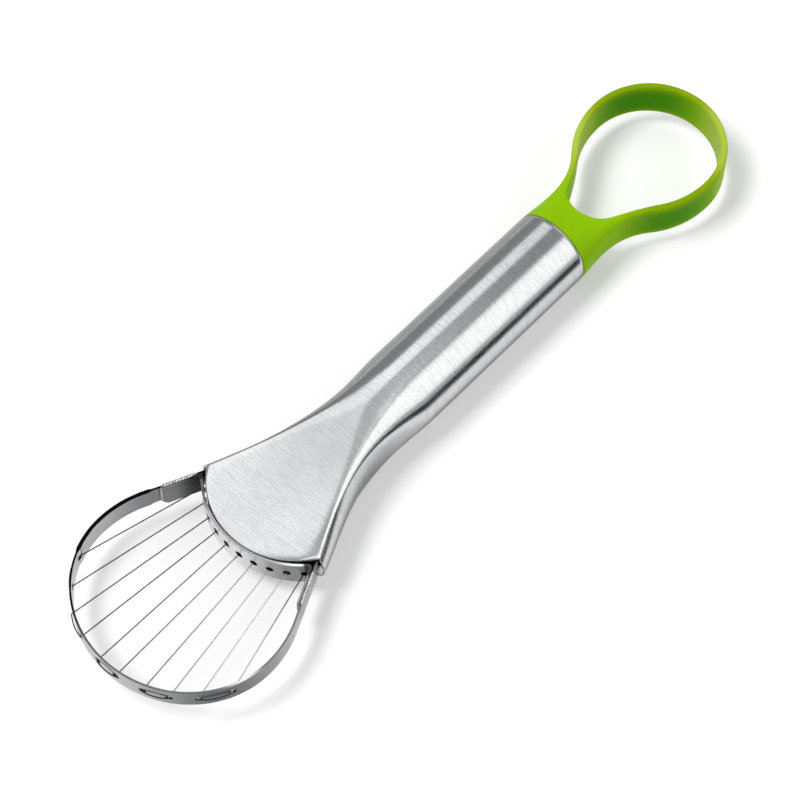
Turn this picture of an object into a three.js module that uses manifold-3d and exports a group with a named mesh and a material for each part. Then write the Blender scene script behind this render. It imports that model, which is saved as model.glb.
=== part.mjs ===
// Avocado slicer: a flared steel handle, a loop strung with cutting wires and a moulded end ring.
// Millimetres, +Z up. X runs along the tool from the loop to the ring. Z = 0 is the table under the tube.
import * as THREE from 'three';
import { mergeVertices } from 'three/addons/utils/BufferGeometryUtils.js';
import Module from 'manifold-3d';

const wasm = await Module();
wasm.setup();

// Lengths along the tool
const LOOP_REACH = 58.3; // tip of the loop to the corners of the mouth
const FLARE_LENGTH = 54; // corners of the mouth to where the tube is round
const TUBE_LENGTH = 62.7; // round part of the tube
const RING_REACH = 65; // end of the tube to the tip of the ring

// Handle: a round tube pressed out into a flat mouth
const TUBE_DIAMETER = 23.7;
const TUBE_WALL = 0.8;
const MOUTH_HEIGHT = 9.2; // outside, at the front lip
const MOUTH_FLAT_WIDTH = 39.4; // flat of the top plate between its rolled edges
const MOUTH_EDGE_RADIUS = 1.2; // rolled edge between the plate and the bulging side wall
const MOUTH_SIDE_TURN = THREE.MathUtils.degToRad(46); // turn of the rolled edge before the side wall starts
const TUBE_SIDE_TURN = THREE.MathUtils.degToRad(88); // the same turn further up, where the side wall is flat
const SIDE_FLAT = 0.75; // share of the flare over which the bulge in the side wall dies out
const LIP_BULGE = 10.9; // how far the front lip stands ahead of the mouth's corners
const PLATE_TAPER = 1.35; // power of the plate's narrowing towards the tube
const EDGE_EASE = [2.8, 1.4]; // start and end powers of the edge radius growing to the tube's radius
const RISE_EASE = [1.5, 1.8]; // start and end powers of the plate rising from the lip to the tube

// Loop: a strip on edge, an ellipse in front, round behind, with straight legs into the mouth
const LOOP_WIDTH = 62;
const LOOP_DEPTH = 28.4; // tip to the widest place
const LOOP_REAR_RADIUS = 30.7;
const LOOP_STRIP_HEIGHT = 6.8;
const LOOP_STRIP_THICKNESS = 0.6;
const LEG_INSERT = 8; // length of the legs inside the mouth
const LEG_CLEARANCE = 0.3; // leg to the corner of the mouth
const LOOP_HOLE_DIAMETER = 1.8;
const LOOP_HOLE_ANGLES = [6.1, 21.3, 35, 49.6, 67.4]; // degrees round the ellipse, either side of the tip

// Comb: a perforated strip in front of the lip, with its ends folded forward along the legs
const COMB_RADIUS = 27.4; // front face
const COMB_HEIGHT = 9.1;
const COMB_THICKNESS = 0.6;
const COMB_GAP = 0.3; // lip to the back of the comb
const TAB_LENGTH = 10.5;
const TAB_END_HEIGHT = 6.4; // the tabs' ends are chamfered down to this
const TAB_CHAMFER = 1.3;
const FOLD_RADIUS = 0.6; // middle of the strip
const WELD_GAP = 0.3; // tab to leg
const COMB_HOLE_DIAMETER = 1.6;
const COMB_HOLE_EDGE = 1.1; // start of the fold to the middle of the last hole

// Wires: hairpins that leave the comb, cross to the loop, turn on its outer face and come back
const WIRE_DIAMETER = 0.42;
const WIRE_GAP = 0.2; // wire to the strips it lies on
const STITCH_BOW = 0.35; // how far a stitch bows off the loop half way
const WIRE_BEND_RADIUS = 0.5;
const TAIL_LENGTH = 1.5;

// End ring: an oval band, a neck and a plug in the tube
const RING_WIDTH = 43;
const RING_HEIGHT = 11.8;
const RING_WALL = 2.1;
const RING_NEAR_DEPTH = 25; // middle of the ring to where its oval would end on the neck's side
const RING_EDGE_RADIUS = 0.7;
const NECK_JOIN = THREE.MathUtils.degToRad(45.6); // where the neck's outline runs into the oval
const NECK_WAIST = 10.8; // half widths that steer the neck's outline
const NECK_SWEEP = 8.2;
const NECK_DROP = 7; // half height that steers the neck's slope
const NOSE_SETBACK = 10.8; // end of the tube to the narrow end of the hole
const NOSE_RADIUS = 8.5;
const NOSE_TURN = THREE.MathUtils.degToRad(66); // turn of the hole's narrow end
const NOSE_JOIN = THREE.MathUtils.degToRad(50.7); // where the narrow end runs into the hole's oval
const PLUG_LENGTH = 20;
const PLUG_CLEARANCE = 0.25;
const PLUG_CHAMFER = 1.5;
const SHOULDER_GAP = 0.3; // end of the tube to the neck

// Facets
const TUBE_SIDES = 40;
const WIRE_SIDES = 8;
const HOLE_SIDES = 14;
const CUT_MARGIN = 2; // cutters reach this far past what they cut

// Places along X, with the origin in the middle of the tool's length
const stitchReach = WIRE_GAP + WIRE_DIAMETER + STITCH_BOW;
const overallLength = stitchReach + LOOP_REACH + FLARE_LENGTH + TUBE_LENGTH + RING_REACH;
const tipX = stitchReach - overallLength / 2;
const mouthX = tipX + LOOP_REACH;
const lipX = mouthX - LIP_BULGE;
const roundX = mouthX + FLARE_LENGTH;
const tubeEndX = roundX + TUBE_LENGTH;
const ringTipX = tubeEndX + RING_REACH;
const tubeRadius = TUBE_DIAMETER / 2;
const axisZ = tubeRadius * Math.cos(Math.PI / TUBE_SIDES); // a flat of the tube lies on the table

const STEEL_BRUSHED = { color: '#b7b8ba', roughness: 0.34, metalness: 1 };
const STEEL_STRIP = { color: '#a3a4a6', roughness: 0.28, metalness: 1 };
const STEEL_WIRE = { color: '#8d8e90', roughness: 0.3, metalness: 1 };
const GREEN_PLASTIC = { color: '#84b81a', roughness: 0.38, metalness: 0 };

// Closed body through a row of closed rings, each listed anticlockwise as seen against the direction of travel.
function loft(rings) {
  const count = rings[0].length;
  const last = (rings.length - 1) * count;
  const positions = rings.flat().flatMap((p) => [p.x, p.y, p.z]);
  const index = [];
  for (let i = 0; i < rings.length - 1; i += 1) {
    for (let j = 0; j < count; j += 1) {
      const a = i * count + j;
      const b = i * count + ((j + 1) % count);
      index.push(a, b, a + count, b, b + count, a + count);
    }
  }
  for (let j = 1; j < count - 1; j += 1) {
    index.push(0, j + 1, j, last, last + j, last + j + 1);
  }
  const geometry = new THREE.BufferGeometry();
  geometry.setAttribute('position', new THREE.Float32BufferAttribute(positions, 3));
  geometry.setIndex(index);
  return geometry;
}

function solid(geometry) {
  geometry.deleteAttribute('normal');
  geometry.deleteAttribute('uv');
  const merged = mergeVertices(geometry, 1e-5);
  return new wasm.Manifold(
    new wasm.Mesh({
      numProp: 3,
      vertProperties: new Float32Array(merged.attributes.position.array),
      triVerts: new Uint32Array(merged.index.array),
    }),
  );
}

function geometryOf(body) {
  const mesh = body.getMesh();
  const geometry = new THREE.BufferGeometry();
  geometry.setAttribute('position', new THREE.Float32BufferAttribute(mesh.vertProperties, 3));
  geometry.setIndex(new THREE.Uint32BufferAttribute(mesh.triVerts, 1));
  return geometry;
}

function piece(name, geometry, look) {
  geometry.computeVertexNormals();
  const mesh = new THREE.Mesh(geometry, new THREE.MeshStandardMaterial(look));
  mesh.name = name;
  return mesh;
}

function arcPoints(centre, rx, ry, from, to, steps) {
  return Array.from({ length: steps + 1 }, (_, i) => {
    const angle = from + ((to - from) * i) / steps;
    return new THREE.Vector2(centre.x + rx * Math.cos(angle), centre.y + ry * Math.sin(angle));
  });
}

function mirrored(points) {
  return points.map((p) => new THREE.Vector2(p.x, -p.y)).reverse();
}

// Directions of the flats' corners round a section, anticlockwise from +Y, with a flat straight up and down.
function sectionAngles() {
  return Array.from({ length: TUBE_SIDES }, (_, i) => ((i + 0.5) * 2 * Math.PI) / TUBE_SIDES);
}

// Rise from 0 to 1 with its own power at the start and at the end.
function eased(t, [start, end]) {
  return 1 - (1 - t ** start) ** end;
}

function spaced(from, to, steps) {
  return Array.from({ length: steps }, (_, i) => from + ((to - from) * i) / steps);
}

// Handle. Each section is a flat plate, a rolled edge and a bulging side, all given by the direction of its normal.
function handleSection(x, inset) {
  const u = THREE.MathUtils.clamp((x - mouthX) / FLARE_LENGTH, 0, 1);
  const v = THREE.MathUtils.clamp((x - lipX) / (roundX - lipX), 0, 1);
  const turn = THREE.MathUtils.lerp(
    MOUTH_SIDE_TURN, TUBE_SIDE_TURN, THREE.MathUtils.smoothstep(u, 0, SIDE_FLAT),
  );
  const plate = (MOUTH_FLAT_WIDTH / 2) * (1 - u) ** PLATE_TAPER;
  const height = THREE.MathUtils.lerp(MOUTH_HEIGHT / 2, tubeRadius, eased(v, RISE_EASE));
  const edge = THREE.MathUtils.lerp(MOUTH_EDGE_RADIUS, tubeRadius, eased(u, EDGE_EASE));
  const sideRadius = (height - edge * (1 - Math.cos(turn))) / Math.cos(turn);
  const edgeWidth = plate + edge * Math.sin(turn);
  return sectionAngles().map((angle) => {
    const across = Math.abs(Math.cos(angle));
    const along = Math.abs(Math.sin(angle));
    const onEdge = across < Math.sin(turn);
    const y = onEdge ? plate + edge * across : edgeWidth + sideRadius * (across - Math.sin(turn));
    const z = onEdge ? height - edge * (1 - along) : sideRadius * along;
    return new THREE.Vector3(
      x,
      Math.sign(Math.cos(angle)) * (y - inset * across),
      axisZ + Math.sign(Math.sin(angle)) * (z - inset * along),
    );
  });
}

const cornerY = MOUTH_FLAT_WIDTH / 2 + MOUTH_EDGE_RADIUS * Math.sin(MOUTH_SIDE_TURN);

function handleShell() {
  const lipSteps = 4;
  const flareSteps = 16;
  const lipArcSteps = 24;
  const stations = [...spaced(lipX, mouthX, lipSteps), ...spaced(mouthX, roundX, flareSteps), roundX];
  const front = lipX - CUT_MARGIN;
  const outer = loft([front, ...stations, tubeEndX].map((x) => handleSection(x, 0)));
  const inner = loft(
    [front - CUT_MARGIN, ...stations, tubeEndX + CUT_MARGIN].map((x) => handleSection(x, TUBE_WALL)),
  );
  const lipRadius = (cornerY ** 2 + LIP_BULGE ** 2) / (2 * LIP_BULGE);
  const lipTurn = Math.asin(cornerY / lipRadius);
  const far = { x: front - 2 * CUT_MARGIN, y: LOOP_WIDTH };
  const cut = new THREE.Shape([
    new THREE.Vector2(far.x, -far.y),
    new THREE.Vector2(mouthX, -far.y),
    ...arcPoints(
      { x: lipX + lipRadius, y: 0 }, lipRadius, lipRadius, Math.PI + lipTurn, Math.PI - lipTurn, lipArcSteps,
    ),
    new THREE.Vector2(mouthX, far.y),
    new THREE.Vector2(far.x, far.y),
  ]);
  const cutter = new THREE.ExtrudeGeometry(cut, { depth: 2 * TUBE_DIAMETER, bevelEnabled: false });
  cutter.translate(0, 0, axisZ - TUBE_DIAMETER);
  return geometryOf(solid(outer).subtract(solid(inner)).subtract(solid(cutter)));
}

// Strip standing on edge along a path in plan, with its own height at each point.
function strip(path, thickness, heights) {
  const rings = path.map((p, i) => {
    const before = path[Math.max(i - 1, 0)];
    const after = path[Math.min(i + 1, path.length - 1)];
    const into = p.clone().sub(before).normalize();
    const out = after.clone().sub(p).normalize();
    const travel = into.clone().add(out).normalize();
    const miter = 1 / Math.max(travel.dot(i === 0 ? out : into), 0.5);
    const side = new THREE.Vector2(-travel.y, travel.x).multiplyScalar((thickness / 2) * miter);
    const half = heights[i] / 2;
    return [
      new THREE.Vector3(p.x + side.x, p.y + side.y, axisZ - half),
      new THREE.Vector3(p.x + side.x, p.y + side.y, axisZ + half),
      new THREE.Vector3(p.x - side.x, p.y - side.y, axisZ + half),
      new THREE.Vector3(p.x - side.x, p.y - side.y, axisZ - half),
    ];
  });
  return loft(rings);
}

// Round hole through a strip, square to it, at a place in plan.
function drilled(body, place, normal, diameter) {
  const drill = new THREE.CylinderGeometry(diameter / 2, diameter / 2, 2 * CUT_MARGIN, HOLE_SIDES);
  drill.rotateZ(Math.atan2(normal.y, normal.x) - Math.PI / 2);
  drill.translate(place.x, place.y, axisZ);
  return body.subtract(solid(drill));
}

// Loop. Its path is the middle of the strip. The leg is the tangent from the mouth to the rear circle.
const loopCentre = new THREE.Vector2(tipX + LOOP_DEPTH, 0);
const loopDepth = LOOP_DEPTH - LOOP_STRIP_THICKNESS / 2;
const loopHalf = (LOOP_WIDTH - LOOP_STRIP_THICKNESS) / 2;
const legEntry = new THREE.Vector2(mouthX, cornerY - LEG_CLEARANCE - LOOP_STRIP_THICKNESS / 2);
const rearCentre = new THREE.Vector2(loopCentre.x, loopHalf - LOOP_REAR_RADIUS);
const entrySpan = legEntry.clone().sub(rearCentre);
const rearTurn = entrySpan.angle() + Math.acos(LOOP_REAR_RADIUS / entrySpan.length());
const legDirection = new THREE.Vector2(Math.sin(rearTurn), -Math.cos(rearTurn));
const legNormal = new THREE.Vector2(Math.cos(rearTurn), Math.sin(rearTurn));

function loopPoint(angle, offset) {
  const normal = loopNormal(angle);
  return new THREE.Vector2(
    loopCentre.x - loopDepth * Math.cos(angle) + offset * normal.x,
    loopHalf * Math.sin(angle) + offset * normal.y,
  );
}

function loopNormal(angle) {
  return new THREE.Vector2(-loopHalf * Math.cos(angle), loopDepth * Math.sin(angle)).normalize();
}

function cuttingLoop(holeAngles) {
  const frontSteps = 22;
  const rearSteps = 6;
  const legEnd = legEntry.clone().addScaledVector(legDirection, LEG_INSERT);
  const rear = arcPoints(rearCentre, LOOP_REAR_RADIUS, LOOP_REAR_RADIUS, rearTurn, Math.PI / 2, rearSteps);
  const frontAngles = spaced(Math.PI / 2, 0, frontSteps).slice(1);
  const half = [legEnd, ...rear, ...frontAngles.map((angle) => loopPoint(angle, 0))];
  const path = [...half, loopPoint(0, 0), ...mirrored(half)];
  const band = strip(path, LOOP_STRIP_THICKNESS, path.map(() => LOOP_STRIP_HEIGHT));
  const body = holeAngles.reduce(
    (cut, angle) => drilled(cut, loopPoint(angle, 0), loopNormal(angle), LOOP_HOLE_DIAMETER),
    solid(band),
  );
  return geometryOf(body);
}

// Comb. An arc in front of the lip, a fold at each end and a tab along the inside of each leg.
const combMiddle = COMB_RADIUS - COMB_THICKNESS / 2;
const combCentre = new THREE.Vector2(lipX - COMB_GAP - COMB_THICKNESS + COMB_RADIUS, 0);
const tabInset = (LOOP_STRIP_THICKNESS + COMB_THICKNESS) / 2 + WELD_GAP;
const foldCentre = foldPlace();
const foldAngle = Math.atan2(foldCentre.y, combCentre.x - foldCentre.x);

// The fold's circle touches the comb's arc from outside and the tab's line from inside.
function foldPlace() {
  const start = legEntry.clone().addScaledVector(legNormal, -(tabInset + FOLD_RADIUS));
  const fromComb = start.clone().sub(combCentre);
  const along = fromComb.dot(legDirection);
  const reach = (combMiddle + FOLD_RADIUS) ** 2 - (fromComb.lengthSq() - along ** 2);
  return start.addScaledVector(legDirection, -along - Math.sqrt(reach));
}

function combPoint(angle, offset) {
  const radius = combMiddle + offset;
  return new THREE.Vector2(combCentre.x - radius * Math.cos(angle), radius * Math.sin(angle));
}

function combNormal(angle) {
  return new THREE.Vector2(-Math.cos(angle), Math.sin(angle));
}

function combHoleAngles(count) {
  const last = foldAngle - COMB_HOLE_EDGE / combMiddle;
  return Array.from({ length: count }, (_, i) => last - (2 * last * i) / (count - 1));
}

function wireComb(holeAngles) {
  const arcSteps = 14;
  const foldSteps = 5;
  const foldStart = foldCentre.clone().addScaledVector(legNormal, FOLD_RADIUS);
  const tabEnd = foldStart.clone().addScaledVector(legDirection, -TAB_LENGTH);
  const tabShoulder = foldStart.clone().addScaledVector(legDirection, TAB_CHAMFER - TAB_LENGTH);
  const fold = arcPoints(foldCentre, FOLD_RADIUS, FOLD_RADIUS, rearTurn, -foldAngle, foldSteps);
  const arc = spaced(foldAngle, 0, arcSteps).slice(1).map((angle) => combPoint(angle, 0));
  const half = [tabEnd, tabShoulder, ...fold, ...arc];
  const path = [...half, combPoint(0, 0), ...mirrored(half)];
  const heights = path.map((_, i) => (i === 0 || i === path.length - 1 ? TAB_END_HEIGHT : COMB_HEIGHT));
  const body = holeAngles.reduce(
    (cut, angle) => drilled(cut, combPoint(angle, 0), combNormal(angle), COMB_HOLE_DIAMETER),
    solid(strip(path, COMB_THICKNESS, heights)),
  );
  return geometryOf(body);
}

// Wire. A path in plan whose corners are rounded, swept with a round section.
function rounded(points, radius) {
  const arcSteps = 4;
  const path = [points[0]];
  for (let i = 1; i < points.length - 1; i += 1) {
    const into = points[i].clone().sub(points[i - 1]);
    const out = points[i + 1].clone().sub(points[i]);
    const room = 0.45 * Math.min(into.length(), out.length());
    const turn = Math.acos(THREE.MathUtils.clamp(into.clone().normalize().dot(out.clone().normalize()), -1, 1));
    const trim = Math.min(radius * Math.tan(turn / 2), room);
    const curve = new THREE.QuadraticBezierCurve(
      points[i].clone().addScaledVector(into.normalize(), -trim),
      points[i],
      points[i].clone().addScaledVector(out.normalize(), trim),
    );
    path.push(...curve.getPoints(arcSteps));
  }
  path.push(points[points.length - 1]);
  return path;
}

function wire(path) {
  const rings = path.map((p, i) => {
    const before = path[Math.max(i - 1, 0)];
    const after = path[Math.min(i + 1, path.length - 1)];
    const travel = after.clone().sub(before).normalize();
    return Array.from({ length: WIRE_SIDES }, (_, k) => {
      const angle = ((k + 0.5) * 2 * Math.PI) / WIRE_SIDES;
      const side = (WIRE_DIAMETER / 2) * Math.cos(angle);
      const up = (WIRE_DIAMETER / 2) * Math.sin(angle);
      return new THREE.Vector3(p.x - travel.y * side, p.y + travel.x * side, axisZ + up);
    });
  });
  return loft(rings);
}

// Where the straight span from one hole to another meets a surface this far past the second hole.
function spanEnd(from, to, normal, past) {
  const travel = to.clone().sub(from).normalize();
  return to.clone().addScaledVector(travel, past / travel.dot(normal));
}

function cuttingWire(loopAngles, combAngles) {
  const stitchSteps = 6;
  const loopPast = LOOP_STRIP_THICKNESS / 2 + WIRE_GAP + WIRE_DIAMETER / 2;
  const combPast = COMB_THICKNESS / 2 + WIRE_GAP + WIRE_DIAMETER / 2;
  const inward = Math.sign(combAngles[1] - combAngles[0]);
  const ends = [0, 1].map((k) => {
    const onLoop = loopPoint(loopAngles[k], 0);
    const onComb = combPoint(combAngles[k], 0);
    const back = combNormal(combAngles[k]).negate();
    const towards = (k === 0 ? inward : -inward) * (TAIL_LENGTH / combMiddle);
    return {
      tail: combPoint(combAngles[k] + towards, -combPast),
      anchor: spanEnd(onLoop, onComb, back, combPast),
      turn: spanEnd(onComb, onLoop, loopNormal(loopAngles[k]), loopPast),
    };
  });
  const stitch = spaced(0, 1, stitchSteps).slice(1).map((f) => {
    const angle = THREE.MathUtils.lerp(loopAngles[0], loopAngles[1], f);
    return loopPoint(angle, loopPast + STITCH_BOW * Math.sin(Math.PI * f));
  });
  const [first, second] = ends;
  const points = [first.tail, first.anchor, first.turn, ...stitch, second.turn, second.anchor, second.tail];
  return wire(rounded(points, WIRE_BEND_RADIUS));
}

// End ring. Sections with straight sides and rounded edges run from the round neck to the tip of the oval.
function ringSection(x, halfWidth, halfHeight, edge) {
  return sectionAngles().map((angle) => {
    const across = Math.cos(angle);
    const along = Math.sin(angle);
    return new THREE.Vector3(
      x,
      Math.sign(across) * (halfWidth - edge) + edge * across,
      axisZ + Math.sign(along) * (halfHeight - edge) + edge * along,
    );
  });
}

function endRing() {
  const neckSteps = 12;
  const ovalSteps = 16;
  const noseSteps = 6;
  const tipTurn = THREE.MathUtils.degToRad(5);
  const outerHalf = RING_WIDTH / 2;
  const innerHalf = outerHalf - RING_WALL;
  const bandHalf = RING_HEIGHT / 2;
  const centre = new THREE.Vector2(ringTipX - outerHalf, 0);
  const join = new THREE.Vector2(
    centre.x - RING_NEAR_DEPTH * Math.cos(NECK_JOIN), outerHalf * Math.sin(NECK_JOIN),
  );
  const neckX = tubeEndX + SHOULDER_GAP;
  const third = (join.x - neckX) / 3;
  const outline = new THREE.CubicBezierCurve(
    new THREE.Vector2(neckX, tubeRadius),
    new THREE.Vector2(neckX + third, NECK_WAIST),
    new THREE.Vector2(join.x - third, NECK_SWEEP),
    join,
  );
  const drop = new THREE.CubicBezierCurve(
    new THREE.Vector2(neckX, tubeRadius),
    new THREE.Vector2(neckX + third, NECK_DROP),
    new THREE.Vector2(join.x - third, bandHalf),
    new THREE.Vector2(join.x, bandHalf),
  );
  const neck = spaced(0, 1, neckSteps).map((t) => {
    const edge = THREE.MathUtils.lerp(tubeRadius, RING_EDGE_RADIUS, 1 - (1 - t) ** 2);
    const height = drop.getPoint(t).y;
    return ringSection(outline.getPoint(t).x, outline.getPoint(t).y, height, Math.min(edge, height));
  });
  const oval = [
    ...arcPoints(centre, RING_NEAR_DEPTH, outerHalf, Math.PI - NECK_JOIN, Math.PI / 2, ovalSteps / 4),
    ...arcPoints(centre, outerHalf, outerHalf, Math.PI / 2, tipTurn, ovalSteps).slice(1),
  ].map((p) => ringSection(p.x, p.y, bandHalf, RING_EDGE_RADIUS));
  const plugRadius = tubeRadius - TUBE_WALL - PLUG_CLEARANCE;
  const plugEnd = tubeEndX - PLUG_LENGTH;
  const plug = loft([
    ringSection(plugEnd, plugRadius - PLUG_CHAMFER, plugRadius - PLUG_CHAMFER, plugRadius - PLUG_CHAMFER),
    ringSection(plugEnd + PLUG_CHAMFER, plugRadius, plugRadius, plugRadius),
    ringSection(neckX + CUT_MARGIN, plugRadius, plugRadius, plugRadius),
  ]);
  const nose = new THREE.Vector2(tubeEndX + NOSE_SETBACK + NOSE_RADIUS, 0);
  const noseArc = arcPoints(nose, NOSE_RADIUS, NOSE_RADIUS, Math.PI, Math.PI - NOSE_TURN, noseSteps);
  const innerDepth = RING_NEAR_DEPTH - RING_WALL;
  const innerArc = [
    ...arcPoints(centre, innerDepth, innerHalf, Math.PI - NOSE_JOIN, Math.PI / 2, ovalSteps / 4),
    ...arcPoints(centre, innerHalf, innerHalf, Math.PI / 2, 0, ovalSteps).slice(1),
  ];
  const noseEnd = noseArc[noseSteps];
  const side = (innerArc[0].x - noseEnd.x) / 3;
  const innerSlope = (innerHalf * Math.cos(NOSE_JOIN)) / (innerDepth * Math.sin(NOSE_JOIN));
  const flank = new THREE.CubicBezierCurve(
    noseEnd,
    new THREE.Vector2(noseEnd.x + side, noseEnd.y + side / Math.tan(NOSE_TURN)),
    new THREE.Vector2(innerArc[0].x - side, innerArc[0].y - side * innerSlope),
    innerArc[0],
  );
  const upper = [...noseArc, ...flank.getPoints(noseSteps).slice(1), ...innerArc.slice(1)];
  const hole = new THREE.ExtrudeGeometry(
    new THREE.Shape([...upper, ...mirrored(upper).slice(1, -1)]),
    { depth: 2 * TUBE_DIAMETER, bevelEnabled: false },
  );
  hole.translate(0, 0, axisZ - TUBE_DIAMETER);
  return geometryOf(solid(loft([...neck, ...oval])).add(solid(plug)).subtract(solid(hole)));
}

const slicer = new THREE.Group();
const loopAngles = [...LOOP_HOLE_ANGLES].reverse().concat(LOOP_HOLE_ANGLES.map((angle) => -angle))
  .map((angle) => THREE.MathUtils.degToRad(angle));
const combAngles = combHoleAngles(loopAngles.length);
slicer.add(piece('handle_shell', handleShell(), STEEL_BRUSHED));
slicer.add(piece('cutting_loop', cuttingLoop(loopAngles), STEEL_STRIP));
slicer.add(piece('wire_comb', wireComb(combAngles), STEEL_STRIP));
for (let k = 0; k < loopAngles.length; k += 2) {
  const hairpin = cuttingWire(loopAngles.slice(k, k + 2), combAngles.slice(k, k + 2));
  slicer.add(piece(`cutting_wire_${k / 2 + 1}`, hairpin, STEEL_WIRE));
}
slicer.add(piece('end_ring', endRing(), GREEN_PLASTIC));

export default slicer;
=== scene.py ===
"""Avocado slicer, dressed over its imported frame.

A flared handle of brushed steel tube, a loop of steel strip on edge, a perforated comb, five wire hairpins
and a moulded lime green ring. Sizes are millimetres until a mesh is made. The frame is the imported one:
X runs along the tool from the loop to the ring, Z is up and the table is at Z = 0.
"""
import logging
import math
from dataclasses import dataclass
from enum import Enum

import bmesh
import bpy
import numpy as np
from mathutils import Matrix


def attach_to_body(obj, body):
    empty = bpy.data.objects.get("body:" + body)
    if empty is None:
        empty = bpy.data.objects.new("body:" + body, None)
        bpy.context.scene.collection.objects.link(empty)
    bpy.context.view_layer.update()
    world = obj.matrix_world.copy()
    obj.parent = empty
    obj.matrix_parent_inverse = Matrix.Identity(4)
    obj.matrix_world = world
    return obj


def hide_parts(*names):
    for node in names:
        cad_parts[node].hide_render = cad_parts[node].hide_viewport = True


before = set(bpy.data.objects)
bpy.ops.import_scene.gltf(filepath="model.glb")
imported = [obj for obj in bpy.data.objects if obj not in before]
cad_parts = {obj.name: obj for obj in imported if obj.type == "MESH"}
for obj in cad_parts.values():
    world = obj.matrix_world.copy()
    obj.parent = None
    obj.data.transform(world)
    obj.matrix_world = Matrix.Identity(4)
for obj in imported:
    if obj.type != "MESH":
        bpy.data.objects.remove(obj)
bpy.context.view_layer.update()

LOG = logging.getLogger("slicer")
MM = 0.001
BODY = "root"
MICRON = 1e-6
Array = np.ndarray

# Points closer than this are one point, and edges shorter than this are none, in metres
SAME_POINT = 2e-7
NO_LENGTH = 1e-7
# Keeps a division away from zero
TINY = 1e-9
# Most values of a noise pattern lie between these
NOISE_BAND = (0.3, 0.7)
# Sizes that the sub-assemblies share: the axis above the table, the lip, the mouth, the tube's end and radius
AXIS_Z = 11.8135
LIP_X = -72.115
MOUTH_X = -61.215
TUBE_END = 55.485
TUBE_RADIUS = 11.85


class GrainRun(Enum):
    """The plane that a brushed or rolled steel's scratches lie in, as pattern counts along X, Y and Z."""

    ROUND_TOOL = (1.0, 0.0, 0.0)
    LEVEL = (0.0, 0.0, 1.0)


class SideOf(Enum):
    """The side of the tool's middle plane that a shape lies on, as the sign of Y."""

    LEFT = 1.0
    RIGHT = -1.0


def linear(colour: str) -> tuple[float, float, float, float]:
    """Turns an sRGB hex colour into linear values.

    Args:
        colour: six hex digits after a hash sign.

    Returns:
        Red, green, blue and an alpha of one.
    """
    parts = np.array([int(colour[k:k + 2], 16) for k in (1, 3, 5)]) / 255.0
    values = np.where(parts <= 0.04045, parts / 12.92, ((parts + 0.055) / 1.055) ** 2.4)
    return (*values.tolist(), 1.0)


def add_node(tree: bpy.types.NodeTree, kind: str, values: dict | None = None, links: dict | None = None,
             **settings: object) -> bpy.types.Node:
    """Adds one node with its settings, socket values and links.

    Args:
        tree: the node tree that takes the node.
        kind: the node's type name.
        values: socket name or number to its value.
        links: socket name or number to the output that feeds it.
        settings: the node's own properties.

    Returns:
        The new node.
    """
    node = tree.nodes.new(kind)
    for key, setting in settings.items():
        setattr(node, key, setting)
    for key, value in (values or {}).items():
        node.inputs[key].default_value = value
    for key, output in (links or {}).items():
        tree.links.new(output, node.inputs[key])
    return node


def new_material(name: str) -> tuple[bpy.types.Material, bpy.types.NodeTree]:
    """Starts a material.

    Args:
        name: the finish's name.

    Returns:
        The material and its node tree, which is still empty.
    """
    made = bpy.data.materials.new(name)
    made.use_nodes = True
    made.node_tree.nodes.clear()
    return made, made.node_tree


def lerp(start: Array | float, end: Array | float, share: Array | float) -> Array | float:
    """Straight mix of two values."""
    return start + (end - start) * share


def eased(share: Array, powers: tuple[float, float]) -> Array:
    """Rise from 0 to 1 that starts with one power and ends with another: 1 - (1 - t^a)^b."""
    return 1.0 - (1.0 - share ** powers[0]) ** powers[1]


def smooth(share: Array) -> Array:
    """Smooth step from 0 to 1: 3 t squared minus 2 t cubed, held at both ends."""
    held = np.clip(share, 0.0, 1.0)
    return held * held * (3.0 - 2.0 * held)


def between(value: Array, limits: tuple[float, float]) -> Array:
    """Smooth step that is 0 up to the first limit and 1 from the second on."""
    return smooth((value - limits[0]) / (limits[1] - limits[0]))


@dataclass(frozen=True)
class Fade:
    """An amount that goes smoothly from one value to another between two limits."""

    start: float
    end: float
    limits: tuple[float, float]

    def at(self, value: Array) -> Array:
        """The amount at each value."""
        return lerp(self.start, self.end, between(value, self.limits))


@dataclass(frozen=True)
class Hump:
    """An amount that is highest at its middle and has smoothly gone to 0 at its reach on either side."""

    height: float
    middle: float
    reach: float

    def at(self, value: Array) -> Array:
        """The amount at each value."""
        return self.height * smooth(1.0 - np.abs(value - self.middle) / self.reach)


def bezier(share: Array, knots: tuple[float, float, float, float]) -> Array:
    """Cubic curve through its first and last knot, steered by the two between."""
    rest = 1.0 - share
    a, b, c, d = knots
    return rest ** 3 * a + 3.0 * rest ** 2 * share * b + 3.0 * rest * share ** 2 * c + share ** 3 * d


def grid_faces(rows: int, columns: int, close_rows: bool, close_columns: bool) -> Array:
    """Lists the quads of a grid of points that is numbered row by row.

    Args:
        rows: number of rows.
        columns: number of points in a row.
        close_rows: whether the last row joins the first.
        close_columns: whether the last column joins the first.

    Returns:
        One row of four point numbers for each quad.
    """
    row = np.arange(rows if close_rows else rows - 1)
    column = np.arange(columns if close_columns else columns - 1)
    i, j = np.meshgrid(row, column, indexing="ij")
    below = (i + 1) % rows
    beside = (j + 1) % columns
    corners = [i * columns + j, i * columns + beside, below * columns + beside, below * columns + j]
    return np.stack(corners, axis=-1).reshape(-1, 4)


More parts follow.
